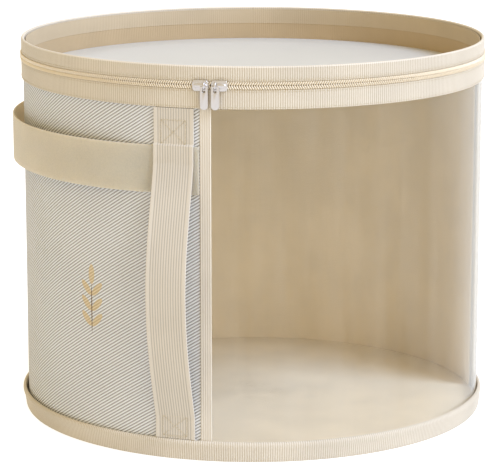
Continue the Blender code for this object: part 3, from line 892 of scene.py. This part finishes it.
class HATBOX_OT_lid_panel(bpy.types.Operator):
    """Adds the sunk milky sheet of the lid"""

    bl_idname = "hatbox.lid_panel"
    bl_label = "Lid Panel"

    def execute(self, context):
        radius = reach("lid_panel")
        sag = 0.0008
        panel = disc(radius, PANEL_LOW, PANEL_TOP, 0.0003)
        for vertex in panel.data.vertices:
            share = 1 - min(1.0, math.hypot(vertex.co.x, vertex.co.y) / radius) ** 2
            vertex.co.z -= sag * share
        finish(panel, "sunk_panel", "milky", "lid", ["lid_panel"])
        return {"FINISHED"}


# --- the zip -----------------------------------------------------------------------------


def zip_tooth(low, high, lean):
    """One tooth at the front: a rounded nylon bar that leans along the zip."""
    deselect()
    bpy.ops.mesh.primitive_cylinder_add(
        vertices=8,
        radius=0.5,
        depth=high - low,
        location=(0, -(COIL_INNER + COIL_OUTER) / 2, (low + high) / 2),
    )
    tooth = bpy.context.object
    tooth.scale = (0.00145, COIL_OUTER - COIL_INNER, 1)
    apply_place(tooth)
    middle = (low + high) / 2
    select_by(tooth, "FACE", lambda mesh, face: len(face.vertices) > 4)
    bpy.ops.mesh.inset(thickness=0.0003)
    bpy.ops.mesh.select_all(action="DESELECT")
    out_of_edit()
    for vertex in tooth.data.vertices:
        inset = math.hypot(vertex.co.x / 0.000725, (vertex.co.y + BAND_RADIUS) / 0.00085) < 0.9
        pull_in = 0.00025 if not inset else 0.0
        toward_tip = (vertex.co.z - middle) / (high - low) + 0.5
        vertex.co.z += pull_in if vertex.co.z < middle else -pull_in
        vertex.co.x += lean * (toward_tip - 0.5)
    return tooth


def tooth_row(low, high, tip_up, pitch):
    """A row of teeth from one stop to the other, all leaning the same way."""
    tooth = zip_tooth(low, high, -0.0014 if tip_up else 0.0014)
    count = int(2 * COIL_END / pitch)
    turn_to(tooth, -pitch * (count - 1) / 2)
    return ring_copies(tooth, pitch, count)


class HATBOX_OT_zip(bpy.types.Operator):
    """Adds both rows of zip teeth, their tapes and the two stops"""

    bl_idname = "hatbox.zip"
    bl_label = "Zip Teeth and Tapes"

    def execute(self, context):
        sizes = context.scene.hat_box_sizes
        pitch = math.degrees(sizes.tooth_pitch / BAND_RADIUS)
        for row, body, tip_up in (("body", "box_body", True), ("lid", "lid", False)):
            low, high = level(f"{row}_zip_coil")
            if tip_up:
                high = ZIP_Z - 0.00005
            else:
                low = ZIP_Z + 0.00005
            teeth = tooth_row(low, high, tip_up, pitch)
            finish(teeth, f"{row}_teeth", "coil", body, [f"{row}_zip_coil"], 60)
            low, high = level(f"{row}_zip_tape")
            outer = reach(f"{row}_zip_tape")
            tape = turned([(outer, high), (outer, low), (outer - 0.0007, low), (outer - 0.0007, high)])
            finish(tape, f"{row}_tape", "tape", body, [f"{row}_zip_tape"])
        for side, name in ((-1, "left"), (1, "right")):
            low, high = level(f"zip_stop_{name}")
            stop = strip(
                COIL_INNER - 0.0001,
                COIL_OUTER + 0.0002,
                low,
                high,
                side * STOP_MIDDLE - 0.29,
                side * STOP_MIDDLE + 0.29,
                0.2,
            )
            round_edges(stop, 0.0003, 3)
            finish(stop, f"stop_{name}", "zinc", "box_body", [f"zip_stop_{name}"])
        return {"FINISHED"}


class HATBOX_OT_hinge(bpy.types.Operator):
    """Adds the strip of cloth that joins the lid to the box at the back"""

    bl_idname = "hatbox.hinge"
    bl_label = "Cloth Hinge"

    def execute(self, context):
        low = level("hinge_cloth_body")[0]
        high = level("hinge_cloth_lid")[1]
        inner = BAND_RADIUS + 0.0003
        start = 180 - HINGE_HALF
        cloth = strip(inner, inner + 0.0006, low, high, start, 180 + HINGE_HALF, 0.5)
        cut_rows(cloth, 31, (high - low) * 0.5)

        def spread(point):
            angle = math.atan2(point.x, -point.y)
            return (angle % (2 * math.pi)) * BAND_RADIUS, point.z

        map_cloth(cloth, spread)
        finish(cloth, "hinge_cloth", "hinge", None, ["hinge_cloth_body", "hinge_cloth_lid"])
        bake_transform(cloth)
        return {"FINISHED"}


def slider_body(side):
    """A slider at the front: two rounded plates on a neck, with a bail at one end.

    side is 1 or -1 and says which end carries the bail.
    """
    parts = []
    for inner, outer, corner in ((PLATE_INNER, PLATE_OUTER, 0.0026), (*INNER_PLATE, 0.0018)):
        size = (SLIDER_LENGTH, outer - inner, SLIDER_HEIGHT)
        plate = block((0, -(inner + outer) / 2, ZIP_Z), size)
        bevel_edges(plate, lambda first, second: abs(first.y - second.y) > 0.0005, corner, 6)
        round_edges(plate, 0.00032, 3)
        parts.append(plate)
    crown = slider_crown()
    back = INNER_PLATE[0]
    size = (SLIDER_LENGTH * 0.6, PLATE_OUTER - back - 0.0008, 0.0006)
    neck = block((0, -(PLATE_OUTER + back) / 2, ZIP_Z), size)
    round_edges(neck, 0.0001, 2)
    bail = slider_bail(side * (SLIDER_LENGTH / 2 - 0.00325))
    return join(parts[0], [parts[1], crown, neck, bail])


def slider_crown():
    """The raised rib along a slider's outer plate, rounded like a bean."""
    deselect()
    bpy.ops.mesh.primitive_uv_sphere_add(
        segments=24, ring_count=12, radius=0.5, location=(0, -PLATE_OUTER, ZIP_Z)
    )
    crown = bpy.context.object
    crown.scale = (SLIDER_LENGTH * 0.84, 0.0016, SLIDER_HEIGHT * 0.50)
    apply_place(crown)
    return crown


def slider_bail(side):
    """The loop on a slider that its pull hangs from, upright and square to the box."""
    deselect()
    bpy.ops.mesh.primitive_torus_add(
        major_radius=1.0,
        minor_radius=0.2,
        major_segments=28,
        minor_segments=12,
        location=(side, -PLATE_OUTER, ZIP_Z),
        rotation=(0, math.pi / 2, 0),
    )
    bail = bpy.context.object
    bail.scale = BAIL_SIZE
    apply_place(bail)
    into_edit(bail)
    bpy.ops.mesh.select_all(action="SELECT")
    plane = {"plane_co": (0, -PLATE_OUTER + 0.0005, 0), "plane_no": (0, 1, 0)}
    bpy.ops.mesh.bisect(**plane, use_fill=True, clear_outer=True)
    out_of_edit()
    return bail


def slider_pull(side):
    """A flat pull that hangs at the front from its slider's bail."""
    axis_z = ZIP_Z - 0.00082
    top = axis_z + 0.0006
    middle = (side * 0.00325, -(PLATE_OUTER + 0.0011), top - PULL_SIZE[2] / 2)
    pull = block(middle, PULL_SIZE)

    def low_corner(first, second):
        return abs(first.y - second.y) > 0.0005 and first.z < middle[2]

    def high_corner(first, second):
        return abs(first.y - second.y) > 0.0005 and first.z > middle[2]

    bevel_edges(pull, low_corner, 0.0031, 8)
    bevel_edges(pull, high_corner, 0.0005, 4)
    eye_top = top - 0.0012
    eye = block((middle[0], middle[1], eye_top - EYE_SIZE[2] / 2), EYE_SIZE)
    bevel_edges(eye, lambda first, second: abs(first.y - second.y) > 0.001, 0.0007, 4)
    apply_modifier(pull, "BOOLEAN", operation="DIFFERENCE", object=eye)
    bpy.data.objects.remove(eye, do_unlink=True)
    round_edges(pull, 0.00022, 3)
    return pull


class HATBOX_OT_sliders(bpy.types.Operator):
    """Adds the two sliders and the pulls that hang from them"""

    bl_idname = "hatbox.sliders"
    bl_label = "Sliders and Pulls"

    def execute(self, context):
        for name, azimuth, side in (("left", SLIDER_LEFT, 1), ("right", SLIDER_RIGHT, -1)):
            slider = turn_to(slider_body(side), azimuth)
            body = f"slider_{name}_body"
            finish(slider, f"zip_slider_{name}", "zinc", body, [f"slider_{name}"])
            pull = turn_to(slider_pull(side), azimuth)
            body = f"pull_{name}_body"
            finish(pull, f"zip_pull_{name}", "zinc", body, [f"pull_{name}"])
        return {"FINISHED"}


# --- the body ----------------------------------------------------------------------------


class HATBOX_OT_mouth_band(bpy.types.Operator):
    """Adds the ribbed band round the mouth of the box"""

    bl_idname = "hatbox.mouth_band"
    bl_label = "Mouth Band"

    def execute(self, context):
        sizes = context.scene.hat_box_sizes
        inner = BAND_RADIUS - BAND_CLOTH
        edge = 0.0003
        stops = [
            (inner, BODY_BAND_LOW),
            (BAND_RADIUS - edge, BODY_BAND_LOW),
            (BAND_RADIUS, BODY_BAND_LOW + edge),
            (BAND_RADIUS, (BODY_BAND_LOW + BODY_BAND_TOP) / 2),
            (BAND_RADIUS, BODY_BAND_TOP - edge),
            (BAND_RADIUS - edge, BODY_BAND_TOP),
            (inner, BODY_BAND_TOP),
        ]
        band = turned(stops, 4 * rib_count(sizes))
        low, high = BODY_BAND_LOW - 0.001, BODY_BAND_TOP + 0.001
        rib_rings(band, sizes, low, high, BAND_RADIUS - 0.0005)
        finish(band, "mouth_band", "grosgrain", "box_body", ["body_band"])
        return {"FINISHED"}


class HATBOX_OT_walls(bpy.types.Operator):
    """Adds the wall cloth, the lining and the clear window"""

    bl_idname = "hatbox.walls"
    bl_label = "Walls and Window"

    def execute(self, context):
        gap = 0.09
        cloths = (
            ("side_cloth", "side_wall", -180 + gap, WINDOW_LEFT),
            ("back_cloth", "back_wall", WINDOW_RIGHT, 180 - gap),
        )
        for name, node, start, end in cloths:
            cloth = strip(WALL_INNER, WALL_OUTER, WALL_LOW, WALL_TOP, start, end)
            finish(cloth, name, "twill", "box_body", [node])
        low, high = level("wall_lining")
        start, end = WINDOW_RIGHT, 360 + WINDOW_LEFT
        lining = strip(LINING_INNER, LINING_OUTER, low, high, start, end)
        finish(lining, "lining_cloth", "lining", "box_body", ["wall_lining"])
        start, end = WINDOW_LEFT + gap, WINDOW_RIGHT - gap
        film = strip(WALL_OUTER - 0.0006, WALL_OUTER, WALL_LOW, WALL_TOP, start, end)
        finish(film, "window_film", "film", "box_body", ["window_pane"])
        return {"FINISHED"}


class HATBOX_OT_bindings(bpy.types.Operator):
    """Adds the sewn tapes on the window's edges and on the back seam"""

    bl_idname = "hatbox.bindings"
    bl_label = "Bindings"

    def execute(self, context):
        seams = {
            "window_binding_left": WINDOW_LEFT,
            "window_binding_right": WINDOW_RIGHT,
            "back_seam_binding": 180.0,
        }
        turns = rib_count(context.scene.hat_box_sizes)
        upright = (BINDING_LOW, BINDING_TOP)
        for node, middle in seams.items():
            ends = (middle - BINDING_HALF, middle + BINDING_HALF)
            tape = strip(ON_WALL, ON_WALL + 0.0006, *upright, *ends, 0.1)
            for vertex in tape.data.vertices:
                x, y, z = vertex.co
                size = math.hypot(x, y)
                if size > ON_WALL + 0.0003:
                    away = abs(math.degrees(math.atan2(x, -y)) - middle)
                    away = min(away, 360 - away)
                    edge = 0.00025 if away > BINDING_HALF - 0.05 else 0
                    shrink = 1 - (0.0001 * groove_at(x, y, turns) + edge) / size
                    vertex.co = (x * shrink, y * shrink, z)
            name = node.replace("binding", "tape")
            finish(tape, name, "binding", "box_body", [node])
        film_edges = {"left": WINDOW_LEFT + BINDING_HALF, "right": WINDOW_RIGHT - BINDING_HALF}
        for name, edge in film_edges.items():
            angle = math.radians(edge)
            size = ON_WALL + 0.0002
            place = (size * math.sin(angle), -size * math.cos(angle), sum(upright) / 2)
            deselect()
            cord = {"vertices": 12, "radius": 0.0005, "depth": BINDING_TOP - BINDING_LOW}
            bpy.ops.mesh.primitive_cylinder_add(**cord, location=place)
            piping = bpy.context.object
            round_edges(piping, 0.0002, 2)
            finish(piping, f"window_piping_{name}", "piping", "box_body")
        return {"FINISHED"}


class HATBOX_OT_foot(bpy.types.Operator):
    """Adds the flared ribbed band round the foot, the cover under it and the floor cloth"""

    bl_idname = "hatbox.foot"
    bl_label = "Foot"

    def execute(self, context):
        sizes = context.scene.hat_box_sizes
        top = BAND_RADIUS + 0.0023
        foot = BAND_RADIUS + 0.0002
        waist = foot * 0.4 + top * 0.6
        lip = foot - 0.0103
        cloth = 0.0012
        stops = [
            (WALL_OUTER + 0.0007, FOOT_TOP - 0.0032),
            (WALL_OUTER + 0.0006, FOOT_TOP - 0.0014),
            (WALL_OUTER + 0.0009, FOOT_TOP - 0.0003),
            (WALL_OUTER + 0.0016, FOOT_TOP),
            (top - 0.0012, FOOT_TOP - 0.0004),
            (top - 0.0004, FOOT_TOP - 0.0014),
            (top, FOOT_TOP - 0.0030),
            ((waist + top) / 2, FOOT_TOP * 0.66),
            (waist, FOOT_TOP / 2),
            ((waist + foot) / 2 + 0.0003, FOOT_TOP * 0.25),
            (foot + 0.0006, 0.0012),
            (foot + 0.0001, 0.0003),
            (foot - 0.0006, 0),
            (lip, 0),
            (lip, 0.0008),
            (foot - 0.0012, 0.0008),
            (foot - 0.0006, 0.0031),
            (waist - cloth, FOOT_TOP / 2),
            (waist - cloth, FOOT_TOP * 0.62),
        ]
        band = turned(stops, 4 * rib_count(sizes))
        rib_rings(band, sizes, 0.0010, FOOT_TOP + 0.001, foot - 0.0003)
        for vertex in band.data.vertices:
            x, y, z = vertex.co
            side = max(0.0, -x / math.hypot(x, y)) ** 3
            grow = 1 + LEFT_FLARE * side * min(1.0, z / FOOT_TOP) ** 2 / BAND_RADIUS
            vertex.co = (x * grow, y * grow, z)
        finish(band, "foot_band", "grosgrain", "box_body", ["base_band"])
        cover = disc(reach("base_cover"), *level("base_cover"), 0.0002)
        finish(cover, "underside_cloth", "base", "box_body", ["base_cover"])
        self.declare(cover, "base_cover", "stretched")
        floor = disc(reach("base_lining"), *level("base_lining"), 0.0002)
        finish(floor, "floor_cloth", "lining", "box_body", ["base_lining"])
        self.declare(floor, "base_lining", "laid")
        return {"FINISHED"}

    def declare(self, cloth, node, held):
        """Does nothing with the round cloth it is given."""


# --- the straps --------------------------------------------------------------------------


class HATBOX_OT_side_strap(bpy.types.Operator):
    """Adds the wide flat strap that stands off the wall round the left side"""

    bl_idname = "hatbox.side_strap"
    bl_label = "Side Strap"

    def execute(self, context):
        sizes = context.scene.hat_box_sizes
        ends = BINDING_HALF + 0.086
        first, last = -180 + ends, WINDOW_LEFT - ends
        flat_from = WINDOW_LEFT - BINDING_HALF - 12.0
        strap = strip(ON_WALL, ON_WALL + STRAP_THICK, STRAP_LOW, STRAP_TOP, first, last)
        cut_rows(strap, 7, (STRAP_TOP - STRAP_LOW) * 0.5)
        round_edges(strap, 0.0004, 2)
        for vertex in strap.data.vertices:
            x, y, z = vertex.co
            share = (flat_from - math.degrees(math.atan2(x, -y))) / (flat_from + 180)
            if share > 0:
                size = math.hypot(x, y)
                stand = sizes.strap_bow * (1 - (2 * share - 1) ** 4)
                grow = 1 + stand / size
                vertex.co = (x * grow, y * grow, z)
        finish(strap, "wide_strap", "strap", "box_body", ["side_strap"])
        return {"FINISHED"}


def handle_bow(z, depth):
    """How far the handle's inner face stands off the wall at a height."""
    top = STRAP_TOP + 0.0017
    low = FOOT_TOP + 0.0180
    share = (top - z) / (top - low)
    if not 0 < share < 1:
        return 0.0003
    deepest = 0.53
    if share < deepest:
        bow = math.sin(share / deepest * math.pi / 2) ** 1.6
    else:
        bow = math.sin((1 - share) / (1 - deepest) * math.pi / 2)
    over_strap = 0.0020 if z > STRAP_LOW - 0.0003 else 0
    return max(0.0003 + (depth - 0.0003) * bow, over_strap)


def handle_half(low, high, sizes):
    """Part of the handle between two heights, ribbed along its length and bowed."""
    ribs = 13
    deselect()
    bpy.ops.mesh.primitive_grid_add(
        x_subdivisions=ribs * 4 + 8,
        y_subdivisions=max(2, round((high - low) / 0.0016)),
        size=1,
        location=(0, 0, (low + high) / 2),
        rotation=(math.pi / 2, 0, 0),
    )
    strap = bpy.context.object
    strap.scale = (HANDLE_WIDTH, high - low, 1)
    apply_place(strap)
    map_cloth(strap, lambda point: (point.x, point.z))
    rib_half = ribs * sizes.webbing_pitch / 2
    for vertex in strap.data.vertices:
        x, _, z = vertex.co
        rib = 0.0
        if abs(x) < rib_half:
            phase = 2 * math.pi * (x + rib_half) / sizes.webbing_pitch
            rib = 0.00022 * (0.5 - 0.5 * math.cos(phase))
        stand = WALL_OUTER + handle_bow(z, sizes.handle_bow) + STRAP_THICK / 2 + 0.0001 - rib
        vertex.co = (x, -stand, z)
    thick = STRAP_THICK - 0.0002
    apply_modifier(strap, "SOLIDIFY", thickness=thick, offset=0, use_even_offset=True)
    outward(strap)

    def selvedge(first, second):
        along = abs(first.z - second.z) > 0.0005
        return along and min(abs(first.x), abs(second.x)) > HANDLE_WIDTH / 2 - 0.0001

    bevel_edges(strap, selvedge, 0.0004, 3)
    strap.rotation_euler.z = math.radians(HANDLE_MIDDLE)
    return strap


class HATBOX_OT_handle(bpy.types.Operator):
    """Adds the upright handle in two halves, bowed off the wall"""

    bl_idname = "hatbox.handle"
    bl_label = "Handle"

    def execute(self, context):
        sizes = context.scene.hat_box_sizes
        halves = (
            ("upper", (HANDLE_SPLIT, HANDLE_TOP), 0.2610, 0.2250, ["handle_top_end", "handle_grip"]),
            ("lower", (HANDLE_LOW, HANDLE_SPLIT), 0.0350, 0.0600, ["handle_bottom_end"]),
        )
        for end, heights, still, free, nodes in halves:
            name = f"handle_{end}"
            half = handle_half(*heights, sizes)
            finish(half, name, "webbing", None, nodes)
            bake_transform(half)
        return {"FINISHED"}


# --- stitching and hidden parts ----------------------------------------------------------


def stitch(length, radius, place, turn):
    """One stitch: a short thread, thick in its middle, that dips into the cloth at its ends."""
    deselect()
    bpy.ops.mesh.primitive_cylinder_add(
        vertices=6, radius=radius, depth=length, location=place, rotation=turn
    )
    thread = bpy.context.object
    select_by(thread, "FACE", lambda mesh, face: len(face.vertices) > 4)
    bpy.ops.mesh.extrude_faces_move(TRANSFORM_OT_shrink_fatten={"value": length * 0.18})
    out_of_edit()
    for vertex in thread.data.vertices:
        if abs(vertex.co.z) > length * 0.55:
            vertex.co.x *= 0.4
            vertex.co.y *= 0.4
    apply_place(thread)
    return thread


def stitch_ring(radius, z, pitch_length):
    """A full row of stitches round the box."""
    count = round(2 * math.pi * radius / pitch_length)
    thread = stitch(pitch_length * 0.55, 0.00024, (0, -radius, z), (0, math.pi / 2, 0))
    return ring_copies(thread, 360 / count, count)


def stitch_line(start, end, radius, azimuth, pitch_length):
    """A straight row on a flat patch at an azimuth; start and end are (across, z)."""
    run = math.dist(start, end)
    count = max(1, round(run / pitch_length))
    across, up = ((end[0] - start[0]) / run, (end[1] - start[1]) / run)
    half = pitch_length / 2
    place = (start[0] + across * half, -radius, start[1] + up * half)
    turn = (0, math.atan2(across, up), 0)
    thread = stitch(pitch_length * 0.55, 0.00028, place, turn)
    step = run / count
    offset = {"use_relative_offset": False, "use_constant_offset": True}
    offset["constant_offset_displace"] = (across * step, 0, up * step)
    apply_modifier(thread, "ARRAY", count=count, **offset)
    return turn_to(thread, azimuth)


class HATBOX_OT_stitching(bpy.types.Operator):
    """Adds the sewn rows on the bands and the crosses on the handle's ends"""

    bl_idname = "hatbox.stitching"
    bl_label = "Stitching"

    def execute(self, context):
        pitch = context.scene.hat_box_sizes.stitch_pitch
        rim = stitch_ring(BAND_RADIUS - 0.00005, LID_BAND_LOW + 0.0016, pitch)
        finish(rim, "rim_stitches", "thread", "lid", smooth=60)
        rows = [
            stitch_ring(BAND_RADIUS - 0.00005, BODY_BAND_TOP - 0.0016, pitch),
            stitch_ring(BAND_RADIUS - 0.00005, BODY_BAND_LOW + 0.0016, pitch),
        ]
        body = join(rows[0], rows[1:])
        finish(body, "mouth_stitches", "thread", "box_body", smooth=60)
        self.crosses(pitch)
        return {"FINISHED"}

    def crosses(self, pitch):
        """The boxed crosses on the handle's ends."""
        half = CROSS_HALF
        lines = []
        for low, high in CROSS_HEIGHTS:
            corners = [(-half, low), (half, low), (half, high), (-half, high)]
            pairs = list(zip(corners, corners[1:] + corners[:1]))
            pairs += [(corners[0], corners[2]), (corners[1], corners[3])]
            face = WALL_OUTER + 0.0003 + STRAP_THICK + 0.0001
            lines += [stitch_line(*pair, face, HANDLE_MIDDLE, pitch * 0.75) for pair in pairs]
        crosses = join(lines[0], lines[1:])
        finish(crosses, "handle_stitches", "thread", "box_body", smooth=60)


class HATBOX_OT_hidden_parts(bpy.types.Operator):
    """Gives the boards and steel hoops inside their real finishes"""

    bl_idname = "hatbox.hidden_parts"
    bl_label = "Boards and Hoops"

    def execute(self, context):
        hoops = ("lid_hoop", "body_hoop", "base_hoop")
        boards = ("wall_board", "base_board")
        for kind, nodes in (("steel", hoops), ("board", boards)):
            for node in nodes:
                mesh = bpy.data.objects[node].data
                mesh.materials.clear()
                mesh.materials.append(finish_of(kind))
        return {"FINISHED"}


# --- the stage ---------------------------------------------------------------------------


def soft_light(name, place, aim, size, power):
    """A square area lamp aimed at a point."""
    deselect()
    bpy.ops.object.light_add(type="AREA", location=place)
    lamp = bpy.context.object
    lamp.name = name
    lamp.data.size = size
    lamp.data.energy = power
    lamp.rotation_euler = (Vector(aim) - Vector(place)).to_track_quat("-Z", "Y").to_euler()
    return lamp


class HATBOX_OT_stage(bpy.types.Operator):
    """Adds the camera, the lamps, the world and the floor"""

    bl_idname = "hatbox.stage"
    bl_label = "Stage"

    def execute(self, context):
        scene = context.scene
        deselect()
        bpy.ops.object.camera_add(
            location=(0, -2.167, 0.606), rotation=(math.radians(90 - 11.92), 0, math.radians(0.11))
        )
        camera = bpy.context.object
        camera.data.lens = 182.7
        camera.data.sensor_width = 36
        camera.data.clip_start = 0.05
        camera.data.clip_end = 50
        scene.camera = camera
        deselect()
        bpy.ops.object.light_add(type="SUN", location=(1.5, -0.9, 1.8))
        key = bpy.context.object
        key.name = "key"
        key.data.energy = 2.0
        key.data.angle = math.radians(30)
        key.data.color = (0.78, 1.02, 1.5)
        aim = Vector((-math.sin(math.radians(60)), math.cos(math.radians(60)), -1.0))
        key.rotation_euler = aim.to_track_quat("-Z", "Y").to_euler()
        soft_light("glint", (0.9, -1.6, 0.9), (0, 0, 0.2), 0.5, 3)
        world = bpy.data.worlds.new("studio")
        scene.world = world
        world.use_nodes = True
        tree = world.node_tree
        # White where the camera sees it, and a warm dome for the light that falls on the box
        paper = {"Color": (1, 1, 1, 1), "Strength": 1.0}
        white = add_node(tree, "ShaderNodeBackground", None, paper)
        warm = tree.nodes["Background"]
        warm.inputs["Color"].default_value = (1.0, 0.84, 0.55, 1)
        warm.inputs["Strength"].default_value = 0.79
        seen = add_node(tree, "ShaderNodeLightPath").outputs["Is Camera Ray"]
        both = {0: seen, 1: warm.outputs[0], 2: white.outputs[0]}
        backdrop = add_node(tree, "ShaderNodeMixShader", None, both).outputs[0]
        tree.links.new(backdrop, tree.nodes["World Output"].inputs["Surface"])
        deselect()
        bpy.ops.mesh.primitive_plane_add(size=12, location=(0, 0, -0.0005))
        floor = bpy.context.object
        apply_place(floor)
        floor.name = "studio_floor"
        colours = scene.hat_box_colours
        floor.data.materials.append(studio_floor("opal acrylic sheet", colours.floor))
        scene.view_settings.view_transform = "Standard"
        return {"FINISHED"}


BUILDERS = (
    HATBOX_OT_stage,
    HATBOX_OT_lid_rim,
    HATBOX_OT_lid_panel,
    HATBOX_OT_zip,
    HATBOX_OT_hinge,
    HATBOX_OT_sliders,
    HATBOX_OT_mouth_band,
    HATBOX_OT_walls,
    HATBOX_OT_bindings,
    HATBOX_OT_foot,
    HATBOX_OT_side_strap,
    HATBOX_OT_handle,
    HATBOX_OT_stitching,
    HATBOX_OT_hidden_parts,
)


class HATBOX_PT_panel(bpy.types.Panel):
    """Lists the hat box's builders and its sizes and colours"""

    bl_idname = "HATBOX_PT_panel"
    bl_label = "Hat Box"
    bl_space_type = "VIEW_3D"
    bl_region_type = "UI"
    bl_category = "Hat Box"

    def draw(self, context):
        for group in (context.scene.hat_box_sizes, context.scene.hat_box_colours):
            box = self.layout.box()
            for name in group.__annotations__:
                box.prop(group, name)
        for builder in BUILDERS:
            self.layout.operator(builder.bl_idname)


CLASSES = (HatBoxSizes, HatBoxColours, *BUILDERS, HATBOX_PT_panel)


def register():
    for cls in CLASSES:
        bpy.utils.register_class(cls)
    bpy.types.Scene.hat_box_sizes = bpy.props.PointerProperty(type=HatBoxSizes)
    bpy.types.Scene.hat_box_colours = bpy.props.PointerProperty(type=HatBoxColours)


def unregister():
    del bpy.types.Scene.hat_box_colours
    del bpy.types.Scene.hat_box_sizes
    for cls in reversed(CLASSES):
        bpy.utils.unregister_class(cls)


def main():
    register()
    for builder in BUILDERS:
        group, name = builder.bl_idname.split(".")
        result = getattr(getattr(bpy.ops, group), name)()
        if "FINISHED" not in result:
            raise RuntimeError(f"{builder.bl_label} wasn't built")
    deselect()


if __name__ == "__main__":
    main()
